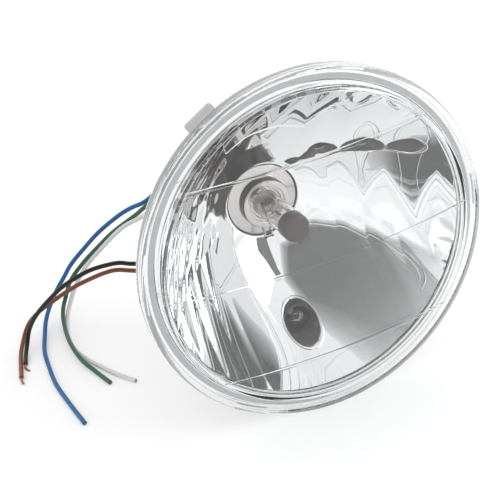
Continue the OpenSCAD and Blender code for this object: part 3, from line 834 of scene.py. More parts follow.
@dataclass
class MirrorBowl:
    """The moulded bowl: faceted mirror, rim ring with lugs, neck and parking lamp boss."""

    mirror_r: float = 77.5
    hole_r: float = 19.0
    hole_lip: float = 1.2
    focal: float = 24.0
    edge_y: float = 4.4
    plate_y: float = 3.3
    rim_y: float = 6.1
    rim_t: float = 2.2
    rim_r: float = 87.5
    skirt_r: float = 85.9
    bowl_t: float = 3.4
    skin_gap: float = 2.2
    neck_r: float = 27.0
    seat_back: float = 4.0
    seat_r: float = 22.0
    neck_back: float = 8.0
    wave_len: float = 17.0
    wave_h: float = 0.5
    wave_start: float = 4.0
    flute_pitch: float = 11.0
    flute_depth: float = 0.4
    strip_w: float = 33.0
    field_h: float = 0.8
    field_gap: float = 3.0
    field_fade: float = 12.0
    patch_r: float = 45.0
    patch_h: float = 0.6
    patch_edge: float = 0.6
    patch_span: tuple[float, float] = (62.0, 118.0)
    ripple_len: float = 12.0
    ripple_stretch: float = 1.4
    ripple_fade: float = 8.0
    ripple_h: float = 0.34
    ripple_span: tuple[float, float] = (120.0, 200.0)
    border_right: float = 340.0
    border_left: float = 195.0
    border_w: float = 0.02
    window: Spot = (-1.5, -57.0)
    window_r: float = 8.5
    window_edge: float = 0.9
    boss_wall: float = 2.5
    boss_len: float = 27.0
    boss_front: float = 20.0
    boss_gap: float = 1.8
    key_w: float = 5.0
    key_h: float = 2.0
    lug_angles: tuple[float, ...] = (119.0, 239.0, 359.0)
    lug_w: float = 16.0
    lug_h: float = 4.0

    def plain_y(self, r: float) -> float:
        """Return the depth of the plain mirror, without its facets, at a radius or an array of radii."""
        return self.edge_y + (self.mirror_r**2 - r * r) / (4 * self.focal)

    @property
    def hole_y(self) -> float:
        """Depth of the front edge of the bulb hole."""
        return self.plain_y(self.hole_r)

    @property
    def seat_y(self) -> float:
        """Depth of the seat of the bulb ring."""
        return self.hole_y + self.seat_back

    @property
    def boss_y(self) -> float:
        """Depth of the rear end of the boss of the parking lamp."""
        return self.plain_y(self.window[1]) + self.boss_len

    def depth(self, x: np.ndarray, z: np.ndarray, lower: np.ndarray) -> np.ndarray:
        """Return the depth of the faceted mirror.

        Args:
            x: Sideways places.
            z: Heights.
            lower: True where a point is in the lower field.

        Returns:
            Depths behind the mounting plane.
        """
        r = np.hypot(x, z)
        a = np.degrees(np.arctan2(z, x)) % 360
        fade = np.clip((r - self.hole_r - self.field_gap) / self.field_fade, 0, 1)
        t = (x - self.wave_start) / self.wave_len
        t = t - np.floor(t)
        wave_up = np.where(t < 0.5, 8 * t * (0.5 - t), -8 * (t - 0.5) * (1 - t))
        side = np.abs(x) - self.strip_w
        wave_down = np.where(side > 0, np.abs(np.sin(np.pi * side / self.flute_pitch)), 0)
        in_patch = (a > self.patch_span[0]) & (a < self.patch_span[1])
        patch = np.clip((r - self.patch_r + self.patch_edge / 2) / self.patch_edge, 0, 1) * in_patch
        ripple = np.sin(2 * np.pi * x / self.ripple_len)
        ripple = ripple * np.sin(2 * np.pi * z / (self.ripple_stretch * self.ripple_len))
        fade_in = np.clip((a - self.ripple_span[0]) / self.ripple_fade, 0, 1)
        ripple = ripple * fade_in * (a < self.ripple_span[1])
        up = fade * (self.wave_h * wave_up - self.field_h + self.ripple_h * ripple) + self.patch_h * patch
        down = self.flute_depth * fade * wave_down
        return self.plain_y(r) + np.where(lower, down, up)

    def cut_away(self, x: float, z: float) -> bool:
        """Return whether a point of the mirror lies in the key slot or under the lip of the window."""
        away = math.hypot(x - self.window[0], z - self.window[1])
        return away <= self.window_r + self.window_edge or self.in_key(x, z)

    def in_key(self, x: float, z: float) -> bool:
        """Return whether a point lies in the key slot under the bulb hole."""
        return abs(x) < self.key_w / 2 and -self.hole_r - self.key_h < z < -self.hole_r / 2

    def directions(self) -> tuple[np.ndarray, np.ndarray]:
        """Return the angles of the mirror's columns, and whether each is in the lower field."""
        turns, clear = 632, 0.3
        base = [360 * k / turns for k in range(turns)]
        plain = [a for a in base if min(abs(a - self.border_left), abs(a - self.border_right)) > clear]
        angles = [(a, self.border_left < a < self.border_right) for a in plain]
        for border, first in ((self.border_left, False), (self.border_right, True)):
            angles += [(border - self.border_w, first), (border + self.border_w, not first)]
        angles.sort()
        return np.radians([a for a, _ in angles]), np.array([low for _, low in angles])

    def mirror(self) -> Piece:
        """Return the faceted mirror with its rim wall and the rolled edge of the bulb hole."""
        rows = 138
        a, low = self.directions()
        m = len(a)
        start = self.hole_r + self.hole_lip
        verts: list[Point] = []
        for i in range(rows + 1):
            r = start + (self.mirror_r - start) * i / rows
            x, z = r * np.cos(a), r * np.sin(a)
            verts += [tuple(p) for p in np.stack([x, self.depth(x, z, low), z], 1)]
        field = number_rows(rows + 1, m)
        faces = [face for face in grid(field) if not self.cut_away(verts[face[0]][0], verts[face[0]][2])]
        lip = [(self.hole_r + 0.5, self.hole_y - 0.35), (self.hole_r + 0.1, self.hole_y)]
        lip += [(self.hole_r, self.hole_y + 0.5), (self.hole_r, self.seat_y)]
        brim = [(self.mirror_r, self.plate_y), (self.skirt_r, self.plate_y), (self.skirt_r, self.rim_y)]
        for row, walls in ((field[0], lip), (field[-1], brim)):
            chain = [row, *number_rows(len(walls), m, len(verts))]
            for r, y in walls:
                verts += circle(r, y, a)
            faces += [face for face in grid(chain) if not self.in_key(verts[face[0]][0], verts[face[0]][2])]
        return make_object("faceted_mirror", verts, faces, Edge.FACETED)

    def key_walls(self) -> Piece:
        """Return the three walls of the key slot."""
        w, low = self.key_w / 2, -self.hole_r - self.key_h
        high = -math.sqrt(self.hole_r**2 - w**2)
        verts: list[Point] = []
        for x, z in ((-w, high), (-w, low), (w, low), (w, high)):
            verts += [(x, self.plain_y(math.hypot(x, z)) - 0.1, z), (x, self.seat_y, z)]
        return make_object("key_slot", verts, grid(number_rows(4, 2), around=False), Edge.CRISP)

    def window_skin(self, name: str, section: Profile) -> Piece:
        """Return a skin round the window that follows the mirror.

        Args:
            name: Name of the piece.
            section: Its radii and its depths behind the mirror.

        Returns:
            The skin.
        """
        steps = 96
        t = np.arange(steps) * 2 * np.pi / steps
        verts: list[Point] = []
        for radius, back in section:
            x, z = self.window[0] + radius * np.cos(t), self.window[1] + radius * np.sin(t)
            y = self.depth(x, z, np.ones(steps, bool)) + back
            verts += [tuple(p) for p in np.stack([x, y, z], 1)]
        return make_object(name, verts, grid(number_rows(len(section), steps)), Edge.CRISP)

    def window_lip(self) -> Piece:
        """Return the moulded lip of the parking lamp window."""
        section = [(1.7, 0.25), (1.5, -0.05), (1.1, -0.3), (0.7, -0.36)]
        section += [(0.3, -0.22), (0.05, 0.1), (0.0, 0.6)]
        return self.window_skin("window_lip", [(self.window_r + out, back) for out, back in section])

    def window_tube(self) -> Piece:
        """Return the tube behind the window, dark brown as painted shade inside the recess."""
        r = self.window_r
        return self.window_skin("window_tube", [(r, 0.6), (r - 0.15, 2.0), (r - 0.15, 18.0)])

    def shell(self) -> Piece:
        """Return the outside of the bowl with its rim ring and neck."""
        out_r, outer_steps, inner_steps = self.mirror_r + 3, 24, 20
        rim_end, neck_end = self.rim_y + self.rim_t, self.seat_y + self.neck_back
        profile = [(self.skirt_r, self.rim_y), (self.rim_r - 0.3, self.rim_y), (self.rim_r, self.rim_y + 0.3)]
        profile += [(self.rim_r, rim_end - 0.4), (self.rim_r - 0.4, rim_end), (out_r + 0.5, rim_end)]
        for i in range(outer_steps + 1):
            r = out_r + (self.neck_r - out_r) * i / outer_steps
            profile.append((r, self.plain_y(r) + self.bowl_t * math.sqrt(1 + (r / (2 * self.focal)) ** 2)))
        profile += [(self.neck_r, neck_end - 0.5), (self.neck_r - 0.5, neck_end)]
        profile += [(self.seat_r + 0.4, neck_end), (self.seat_r, neck_end - 0.4)]
        profile += [(self.seat_r, self.seat_y), (self.hole_r, self.seat_y), (self.hole_r, self.seat_y - 0.6)]
        for i in range(inner_steps + 1):
            r = self.hole_r + 2 + (self.mirror_r - 1 - self.hole_r) * i / inner_steps
            profile.append((r, self.plain_y(r) + self.skin_gap))
        obj = revolve("bowl_shell", profile, Edge.CRISP, 160)
        self.open_window(obj)
        return obj

    def open_window(self, obj: Piece) -> None:
        """Open the window of the parking lamp in both skins of the bowl.

        Args:
            obj: The outside of the bowl.
        """
        fine_r, open_r = self.window_r + 7.5, self.window_r + 1.1

        def away(face: bmesh.types.BMFace) -> float:
            """Return how far a face is from the middle of the window, in millimetres."""
            spot = face.calc_center_median()
            return math.hypot(spot.x / MM - self.window[0], spot.z / MM - self.window[1])

        bm = bmesh.new()
        bm.from_mesh(obj.data)
        near = {edge for face in bm.faces if away(face) < fine_r for edge in face.edges}
        bmesh.ops.subdivide_edges(bm, edges=list(near), cuts=3, use_grid_fill=True)
        bmesh.ops.delete(bm, geom=[face for face in bm.faces if away(face) < open_r], context="FACES")
        bm.to_mesh(obj.data)
        bm.free()
        smooth(obj, Edge.CRISP)

    def boss(self) -> Piece:
        """Return the boss that carries the socket of the parking lamp."""
        r, stop = self.window_r + self.boss_wall, 50.0
        profile = [(r, self.boss_front), (r, self.boss_y - 0.5), (r - 0.5, self.boss_y)]
        profile += [(self.window_r, self.boss_y), (self.window_r, stop)]
        obj = revolve("lamp_boss", profile, Edge.CRISP, 64, self.window)
        for v in obj.data.vertices:
            if v.co.y / MM < self.boss_front + 1:
                v.co.y = (self.plain_y(math.hypot(v.co.x, v.co.z) / MM) + self.boss_gap) * MM
        obj.data.update()
        return obj

    def lugs(self) -> list[Piece]:
        """Return the three locating lugs on the rim ring."""
        made = []
        half, root, top = self.lug_w / 2, self.rim_r - 2, self.rim_r + self.lug_h
        outline = [(root, -half), (top - 1.2, -half), (top - 0.3, -half + 0.5), (top, -half + 1.4)]
        outline += [(u, -w) for u, w in reversed(outline)]
        for number, angle in enumerate(self.lug_angles):
            a = math.radians(angle)
            out, side = Vector((math.cos(a), 0, math.sin(a))), Vector((-math.sin(a), 0, math.cos(a)))
            front, back = (
                [tuple(out * u + side * w + Vector((0, y, 0))) for u, w in outline]
                for y in (self.rim_y + 0.2, self.rim_y + self.rim_t - 0.2)
            )
            made.append(prism(f"rim_lug_{number + 1}", front, back))
        return made

    def build(self, palette: Palette) -> None:
        """Build and dress the bowl."""
        palette.dress(self.mirror(), MIRROR, "reflector")
        palette.dress(self.window_lip(), MIRROR)
        # The dark tube behind the window is painted shade.
        palette.dress(self.window_tube(), WINDOW_SHADE)
        palette.dress(self.key_walls(), MIRROR)
        for piece in (self.shell(), self.boss(), *self.lugs()):
            palette.dress(piece, BOWL_BACK)
        palette.repaint("seal_bead", SEALANT)


@dataclass
class GlassLens:
    """The clear glass: domed face with three ribs, raised shoulder and stepped flange."""

    glass_r: float = 89.0
    skirt_depth: float = 5.8
    skirt_in: float = 86.2
    flange_t: float = 3.0
    bead_h: float = 1.0
    band_y: float = -0.4
    shoulder_r: float = 80.0
    shoulder_h: float = 5.4
    dome_rise: float = 10.6
    glass_t: float = 2.4
    rib_pitch: float = 51.0
    rib_mid_z: float = -1.0
    rib_w: float = 1.8
    rib_h: float = 0.35
    columns: int = 72

    @property
    def dome_r(self) -> float:
        """Radius of the domed face inside the round shoulder."""
        return self.shoulder_r - 1.2

    def dome_y(self, r: float) -> float:
        """Return the depth of the outside of the dome at a radius."""
        big = (self.dome_r**2 + self.dome_rise**2) / (2 * self.dome_rise)
        return -self.shoulder_h - self.dome_rise + big - math.sqrt(big * big - r * r)

    def rib_lift(self, z: float) -> float:
        """Return how far the ribs stand out of the dome at a height."""
        lift = 0.0
        for i in (-1, 0, 1):
            d = abs(z - self.rib_mid_z - i * self.rib_pitch) / (self.rib_w / 2)
            if d < 1:
                lift = self.rib_h * (1 - d**4) ** 0.5
        return lift

    def rows(self) -> list[float]:
        """Return the heights of the rows of the dome, close together at the ribs."""
        marks = {0.0}
        for k in range(1, 27):
            height = self.dome_r * math.sin(math.pi / 2 * k / 26.5)
            marks |= {height, -height}
        for i in (-1, 0, 1):
            middle = self.rib_mid_z + i * self.rib_pitch
            marks = {m for m in marks if abs(m - middle) > self.rib_w / 2 + 0.5}
            for share in (0.15, 0.45, 0.7, 0.84, 0.93, 0.98, 1, 1.25):
                marks |= {middle + self.rib_w / 2 * share, middle - self.rib_w / 2 * share}
        return sorted(marks)

    def section(self) -> Profile:
        """Return the outline from the edge of the dome over the rim to the middle of the inside."""
        s, g, t, b = self.shoulder_r, self.glass_r, -self.shoulder_h, self.band_y
        inner, bead, end, face = self.skirt_in, -self.bead_h, self.skirt_depth, self.flange_t
        leg, deep = s - self.glass_t, self.glass_t
        roof = self.dome_y(leg - 1) + deep
        outline = [(s - 0.85, t + 0.12), (s - 0.35, t + 0.5), (s, t + 1.2), (s + 0.4, b - 0.9)]
        outline += [(s + 0.6, b - 0.4), (s + 1.1, b - 0.08), (s + 1.8, b)]
        outline += [(inner - 0.5, b), (inner - 0.1, b - 0.1)]
        outline += [(inner + 0.4, bead + 0.15), (inner + 0.9, bead), (g - 1.2, bead), (g - 0.6, bead + 0.14)]
        outline += [(g - 0.15, bead + 0.5), (g, -0.2), (g, end - 0.7), (g - 0.2, end - 0.2), (g - 0.7, end)]
        outline += [(inner + 0.4, end), (inner, end - 0.4), (inner, face + 0.4), (inner - 0.4, face)]
        outline += [(leg + 0.3, face), (leg, face - 0.3), (leg, roof + 1.2)]
        outline += [(leg - 0.3, roof + 0.35), (leg - 1, roof)]
        steps = 20
        radii = [(leg - 1) * q / steps for q in range(steps - 1, 0, -1)]
        return outline + [(r, self.dome_y(r) + deep) for r in radii]

    def build(self, palette: Palette) -> None:
        """Build and dress the glass."""
        n = self.columns
        verts: list[Point] = []
        heights = self.rows()
        for z in heights:
            w = math.sqrt(self.dome_r**2 - z * z)
            for k in range(n + 1):
                x = -w * math.cos(math.pi * k / n)
                y = self.dome_y(min(self.dome_r, math.hypot(x, z))) - (self.rib_lift(z) if 0 < k < n else 0)
                verts.append((x, y, z))
        rows = number_rows(len(heights), n + 1)
        faces = grid(rows, around=False)
        left, right = [row[0] for row in rows], [row[-1] for row in rows]
        ring: Sequence[int] = [*rows[0], *right[1:], *rows[-1][::-1][1:], *left[::-1][1:-1]]
        turn = [math.atan2(verts[v][2], verts[v][0]) for v in ring]
        for r, y in self.section():
            new = range(len(verts), len(verts) + len(turn))
            verts += circle(r, y, turn)
            faces += band(ring, new)
            ring = new
        faces += band(ring, [len(verts)] * len(turn))
        verts.append((0.0, self.dome_y(0) + self.glass_t, 0.0))
        palette.dress(make_object("domed_glass", verts, faces, Edge.CRISP), CLEAR_GLASS, "lens")


@dataclass
class HalogenBulb:
    """The two filament bulb with its ring and shield."""

    seat_y: float
    bulb_r: float = 6.8
    length: float = 45.2
    tip_len: float = 7.4
    drum_r: float = 12.6
    drum_len: float = 7.0
    foot_len: float = 12.0
    face_lift: float = 3.7
    hole_r: float = 18.8
    tab_r: float = 21.5
    tab_t: float = 0.9
    tab_angles: tuple[float, ...] = (90.0, 210.0, 330.0)
    tab_half: float = 13.5
    key_w: float = 4.4
    key_h: float = 1.4
    coil_r: float = 0.62
    coil_wire: float = 0.4
    support_d: float = 0.85

    @property
    def front_y(self) -> float:
        """Depth of the front of the bulb."""
        return self.seat_y - self.length

    @property
    def face_y(self) -> float:
        """Depth of the flat face of the ring."""
        return self.seat_y - self.face_lift

    @property
    def drum_y(self) -> float:
        """Depth of the front of the drum."""
        return self.face_y - self.drum_len

    @property
    def foot_y(self) -> float:
        """Depth of the front of the glass foot."""
        return self.seat_y - self.foot_len

    def dish(self) -> Piece:
        """Return the dished ring with its drum."""
        c, face, d, front, hole = self.bulb_r + 0.15, self.face_y, self.drum_r, self.drum_y, self.hole_r
        profile = [(c, front + 2.2), (c + 0.9, front + 2.2), (c + 1.2, front + 1.9), (c + 1.3, front + 1.2)]
        profile += [(d - 3.2, front + 1.2), (d - 3.0, front + 0.2), (d - 2.7, front), (d - 1.0, front)]
        profile += arc(d - 1.0, front + 1.0, 1.0, -90, 0, 6)[1:]
        profile += [(d, face - 0.9), (d + 0.25, face - 0.3), (d + 0.9, face), (hole - 0.8, face)]
        profile += [(hole - 0.25, face + 0.2), (hole, face + 0.7)]
        profile += [(hole, self.seat_y + 1), (c, self.seat_y + 1)]
        return revolve("ring_dish", profile, Edge.CRISP, 96)

    def tabs(self) -> list[Piece]:
        """Return the three tabs that lie on the seat."""
        made = []
        steps = 8
        for number, angle in enumerate(self.tab_angles):
            turn = [math.radians(angle + self.tab_half * (2 * q / steps - 1)) for q in range(steps + 1)]
            front, back = (
                circle(self.tab_r, y, turn) + circle(self.hole_r - 1, y, reversed(turn))
                for y in (self.seat_y, self.seat_y + self.tab_t)
            )
            made.append(prism(f"ring_tab_{number + 1}", front, back))
        return made

    def drum_band(self) -> Piece:
        """Return the dark band round the side of the drum, painted shade that also darkens the drum in the
        mirror's reflection.
        """
        d, face, front = self.drum_r, self.face_y, self.drum_y
        profile = [(d + 0.03, front + 1.2), (d + 0.2, front + 1.3), (d + 0.28, front + 1.7)]
        profile += [(d + 0.3, face - 1.1), (d + 0.25, face - 0.75), (d + 0.03, face - 0.7)]
        return revolve("dark_drum_band", profile, Edge.CRISP, 96)

    def key(self) -> Piece:
        """Return the bent key on the ring, a small frame in the slot of the mirror."""
        w, low, high, t = self.key_w / 2, -self.hole_r - self.key_h, -self.hole_r + 2.2, 0.55
        outline = [(-w, high), (-w, low), (w, low), (w, high)]
        outline += [(w - t, high), (w - t, low + t), (t - w, low + t), (t - w, high)]
        front, back = ([(x, y, z) for x, z in outline] for y in (self.seat_y - 5.2, self.seat_y - 3.4))
        return prism("ring_key", front, back, [[0, 1, 6, 7], [1, 2, 5, 6], [2, 3, 4, 5]])

    def foils(self) -> list[Piece]:
        """Return the dark foils in the glass foot and the bridge across the wires."""
        foot = self.foot_y
        blocks = {
            "foot_foil_1": (-3.9, -2.5, foot - 0.6, foot, -2.0, 2.6),
            "foot_foil_2": (1.5, 2.9, foot - 0.6, foot, -2.0, 2.6),
            "wire_bridge": (-3.6, 3.2, foot - 1.6, foot - 0.5, 0.6, 1.8),
            "bridge_cap": (-1.8, 1.6, foot - 1.8, foot - 0.4, 1.8, 3.8),
        }
        made = []
        for name, (x0, x1, y0, y1, z0, z1) in blocks.items():
            corners = [(x0, z0), (x1, z0), (x1, z1), (x0, z1)]
            made.append(prism(name, [(x, y0, z) for x, z in corners], [(x, y1, z) for x, z in corners]))
        return made

    def envelope(self) -> Piece:
        """Return the hollow glass envelope."""
        r, wall, y0, nose, back = self.bulb_r, 0.9, self.front_y + 0.4, 2.4, self.seat_y - 4
        outer = [(0.0, y0)] + arc(r - nose, y0 + nose, nose, -90, 0, 10) + [(r, back)]
        inner = [(r - wall, back)] + arc(r - nose, y0 + nose, nose - wall, 0, -90, 10) + [(0.0, y0 + wall)]
        return revolve("bulb_envelope", outer + inner, Edge.CRISP, 96)

    def cap(self) -> Piece:
        """Return the dark cap on the front of the envelope."""
        r, y0, end = self.bulb_r + 0.4, self.front_y, self.front_y + self.tip_len
        outer = [(0.0, y0), (r * 0.35, y0 + 0.03), (r * 0.6, y0 + 0.12)]
        outer += arc(r - 1.9, y0 + 2.1, 1.9, -84, 0, 10)
        rim = [(r, end - 0.15), (r - 0.12, end), (r - 0.32, end)]
        inner = [(r - 0.32, y0 + 2.6)] + arc(r - 2.4, y0 + 2.6, 2.05, 0, -90, 8) + [(0.0, y0 + 0.37)]
        return revolve("dark_bulb_cap", outer + rim + inner, Edge.SOFT, 96)

    def coil(self, name: str, start: float, end: float, z: float) -> Piece:
        """Return a filament wound along the optical axis, from one depth behind the front to another."""
        turns, per, r = 9, 12, self.coil_r
        points: list[Point] = []
        for k in range(turns * per + 1):
            a, y = 2 * math.pi * k / per, self.front_y + start + (end - start) * k / (turns * per)
            points.append((r * math.cos(a), y, z + r * math.sin(a)))
        return round_curve(name, points, self.coil_wire, 8)

    def shield(self) -> Piece:
        """Return the cupped shield under the low beam filament."""
        y0, y1, steps, axis = self.front_y + 8.0, self.front_y + 16.8, 28, 1e-2
        section = [(4.2, y1), (4.2, y0 + 0.6), (3.6, y0), (axis, y0), (axis, y0 + 0.5), (3.4, y0 + 0.5)]
        section += [(3.75, y0 + 0.9), (3.75, y1)]
        turn = [math.pi + math.pi * k / steps for k in range(steps + 1)]
        verts = [point for r, y in section for point in circle(r, y, turn, (0.0, 0.5))]
        rows = number_rows(len(section), steps + 1)
        faces = grid([*rows, rows[0]], around=False)
        faces += [[row[0] for row in rows], [row[-1] for row in reversed(rows)]]
        return make_object("beam_cup", verts, faces, Edge.CRISP)

    def supports(self) -> list[Piece]:
        """Return the stiff wires that carry the filaments and the shield."""
        b, foot = self.front_y, self.foot_y
        low = [(3.6, foot, 0), (4.8, b + 24, 0), (4.8, b + 11.4, 0.2), (4.6, b + 9.6, 1)]
        high = [(-3.6, foot, 0), (-4.8, b + 27, 0), (-4.8, b + 19.6, 0), (-4.2, b + 18.6, 0)]
        routes = [
            [*low, (3.8, b + 8.7, 1.3), (0.5, b + 8.8, 1.1)],
            [*high, (-0.5, b + 18.6, 0)],
            [(0, foot, -1.4), (0, foot - 3, -1.4), (0, b + 23, -4.2), (0, b + 16, -4.5), (0, b + 9, -4.5)],
            [(2.6, foot, 0), (2.6, b + 27, 0), (2.6, b + 25.8, 0), (2, b + 24.9, 0), (0.5, b + 24.6, 0)],
        ]
        return [
            round_curve(f"filament_support_{i + 1}", smooth_route(route, 4), self.support_d, 10)
            for i, route in enumerate(routes)
        ]

    def build(self, palette: Palette) -> None:
        """Build and dress the bulb."""
        palette.dress(self.dish(), PLATED, "bulb_ring")
        for tab in self.tabs():
            palette.dress(tab, PLATED)
        # The dark drum band is painted shade.
        palette.dress(self.drum_band(), DRUM_SHADE)
        palette.dress(self.key(), PLATED)
        for foil in self.foils():
            palette.dress(foil, TUNGSTEN)
        palette.dress(self.envelope(), BULB_GLASS, "bulb_glass")
        palette.dress(self.cap(), DARK_CAP, "bulb_tip")
        palette.dress(self.coil("low_coil", 9.0, 14.5, 0.9), TUNGSTEN, "low_filament")
        palette.dress(self.coil("high_coil", 19.0, 24.0, 0.0), TUNGSTEN, "high_filament")
        palette.dress(self.shield(), SHIELD, "beam_shield")
        first, *others = self.supports()
        palette.dress(first, WIRE, "filament_leads")
        for wire in others:
            palette.dress(wire, WIRE)
        palette.repaint("bulb_stem", FOOT)
        palette.repaint("bulb_insulator", CERAMIC)
        for blade in ("top_blade", "left_blade", "right_blade"):
            palette.repaint(blade, BRASS)
        palette.repaint("bulb_clip", PLATED)
        palette.repaint("clip_screw", PLATED)


@dataclass
class RearFittings:
    """The rubber boot and the three way connector behind the bowl."""

    seat_y: float
    neck_r: float = 27.0
    neck_back: float = 8.0
    boot_t: float = 3.0
    insulator_r: float = 11.0
    insulator_len: float = 13.0
    plug_w: float = 26.0
    plug_len: float = 22.0
    gap: float = 0.3

    def boot(self) -> Piece:
        """Return the rubber boot with its rolled rim, bellows and collar."""
        inner = self.neck_r + self.gap
        out = inner + self.boot_t
        end = self.seat_y + self.neck_back
        front, back = end + self.gap, end + self.gap + self.boot_t
        collar = self.insulator_r + self.gap
        top = self.seat_y + self.insulator_len - 0.4
        outer = [(inner, end - 9), (out - 1.2, end - 9), (out - 0.3, end - 8.7), (out, end - 8)]
        outer += [(out, end - 6), (out - 0.4, end - 5.3), (out - 0.9, end - 5)]
        outer += [(out - 0.9, back - 1.6), (out - 1.3, back - 0.5)]
        bellows = [(out - 2.2, back), (out - 6, back), (out - 6.6, back - 0.3), (out - 7.2, back - 1)]
        bellows += [(collar + 5.4, back - 1), (collar + 4.6, back - 0.4), (collar + 3.4, back)]
        tube = [(collar + 2.7, back + 0.4), (collar + 2.4, top - 0.6), (collar + 1.9, top)]
        tube += [(collar + 0.4, top), (collar, top - 0.4), (collar, front), (inner, front)]
        return revolve("rubber_dust_boot", outer + bellows + tube, Edge.CRISP, 128)

    def housing(self) -> Piece:
        """Return the connector housing with rounded edges, ribs and latches."""
        mesh = bmesh.new()
        y0 = self.seat_y + self.insulator_len + self.gap
        h = self.plug_w / 2

        def block(x0: float, x1: float, ya: float, yb: float, z0: float, z1: float) -> None:
            """Add one block to the housing."""
            made = bmesh.ops.create_cube(mesh, size=1.0)["verts"]
            size = Vector((x1 - x0, yb - ya, z1 - z0)) * MM
            middle = Vector((x0 + x1, ya + yb, z0 + z1)) / 2 * MM
            bmesh.ops.scale(mesh, vec=size, verts=made)
            bmesh.ops.translate(mesh, vec=middle, verts=made)

        block(-h, h, y0, y0 + self.plug_len, -h + 2, h)
        block(-h - 1, h + 1, y0, y0 + 4, -h + 1, h + 1)
        for x in (-7, 0, 7):
            block(x - 1, x + 1, y0 + 4, y0 + self.plug_len - 3, h - 0.1, h + 1)
        for x0, x1 in ((-h - 0.9, -h + 0.1), (h - 0.1, h + 0.9)):
            block(x0, x1, y0 + 7, y0 + 16, -3, 3)
        data = bpy.data.meshes.new("connector_housing")
        mesh.to_mesh(data)
        mesh.free()
        obj = place_object("connector_housing", data)
        bevel = obj.modifiers.new("rounding", "BEVEL")
        bevel.width = 0.0004
        bevel.segments = 3
        bevel.limit_method = "ANGLE"
        smooth(obj, Edge.CRISP)
        return obj

    def build(self, palette: Palette) -> None:
        """Build and dress the fittings."""
        palette.dress(self.boot(), RUBBER, "rubber_boot")
        palette.dress(self.housing(), PLASTIC, "connector")


@dataclass
class ParkingLamp:
    """The wedge bulb and its socket in the window of the mirror."""

    axis: Spot = (-1.5, -57.0)
    socket_y: float = 60.421
    bulb_r: float = 5.1
    bulb_len: float = 26.0
    wall: float = 0.8

    def bulb(self) -> Piece:
        """Return the glass of the wedge bulb."""
        r, y0, wall = self.bulb_r, self.socket_y - self.bulb_len, self.wall
        shares = [(0.0, 0.0), (0.28, 0.15), (0.52, 0.62), (0.75, 1.6), (0.92, 3.1)]
        shares += [(1.0, 5.2), (1.0, 14.0), (0.93, 15.6), (0.82, 16.8)]
        outer = [(r * share, y0 + back) for share, back in shares]
        inner = [(max(0.0, q[0] - wall), q[1] + (wall if q[0] < 1 else 0.35)) for q in reversed(outer)]
        inner[-1] = (0.0, y0 + wall)
        return revolve("wedge_bulb_glass", outer + inner, Edge.CRISP, 64, self.axis)

    def filament(self) -> Piece:
        """Return the filament on its two wires."""
        y, foot, r, steps, per = self.socket_y - 18, self.socket_y - 9.2, 0.3, 60, 8
        points = [(-2, foot, 0), (-2.4, y + 1, 0), (-2, y, 0)]
        for k in range(steps + 1):
            a = 2 * math.pi * k / per
            points.append((-1.8 + 3.6 * k / steps, y + r * math.cos(a) - r, r * math.sin(a)))
        points += [(2, y, 0), (2.4, y + 1, 0), (2, foot, 0)]
        x, z = self.axis
        return round_curve("wedge_filament", [(x + px, py, z + pz) for px, py, pz in points], 0.45, 8)

    def foot(self) -> Piece:
        """Return the pale pinched foot inside the wedge bulb."""
        y0, y1 = self.socket_y - 14.5, self.socket_y - 9.4
        profile = [(0.0, y0), (1.6, y0 + 0.2), (2.4, y0 + 1.2), (3.4, y1 - 1.0), (3.6, y1), (0.0, y1)]
        return revolve("wedge_foot", profile, Edge.SOFT, 48, self.axis)

    def collar(self) -> Piece:
        """Return the bright collar that grips the wedge bulb."""
        r, y = self.bulb_r, self.socket_y - 15.5
        profile = [(r + 0.25, y), (r + 1.1, y - 0.4), (r + 1.6, y + 0.1)]
        profile += [(r + 1.6, y + 1.4), (r + 0.25, y + 1.4)]
        return revolve("wedge_collar", profile, Edge.CRISP, 64, self.axis)

    def build(self, palette: Palette) -> None:
        """Build and dress the parking lamp."""
        palette.dress(self.bulb(), BULB_GLASS, "park_bulb")
        palette.dress(self.filament(), WIRE, "park_filament")
        palette.dress(self.foot(), FOOT)
        palette.dress(self.collar(), PLATED)
        palette.repaint("park_base", BULB_GLASS)
        palette.repaint("park_contacts", BRASS)
        palette.repaint("park_socket", PLASTIC)


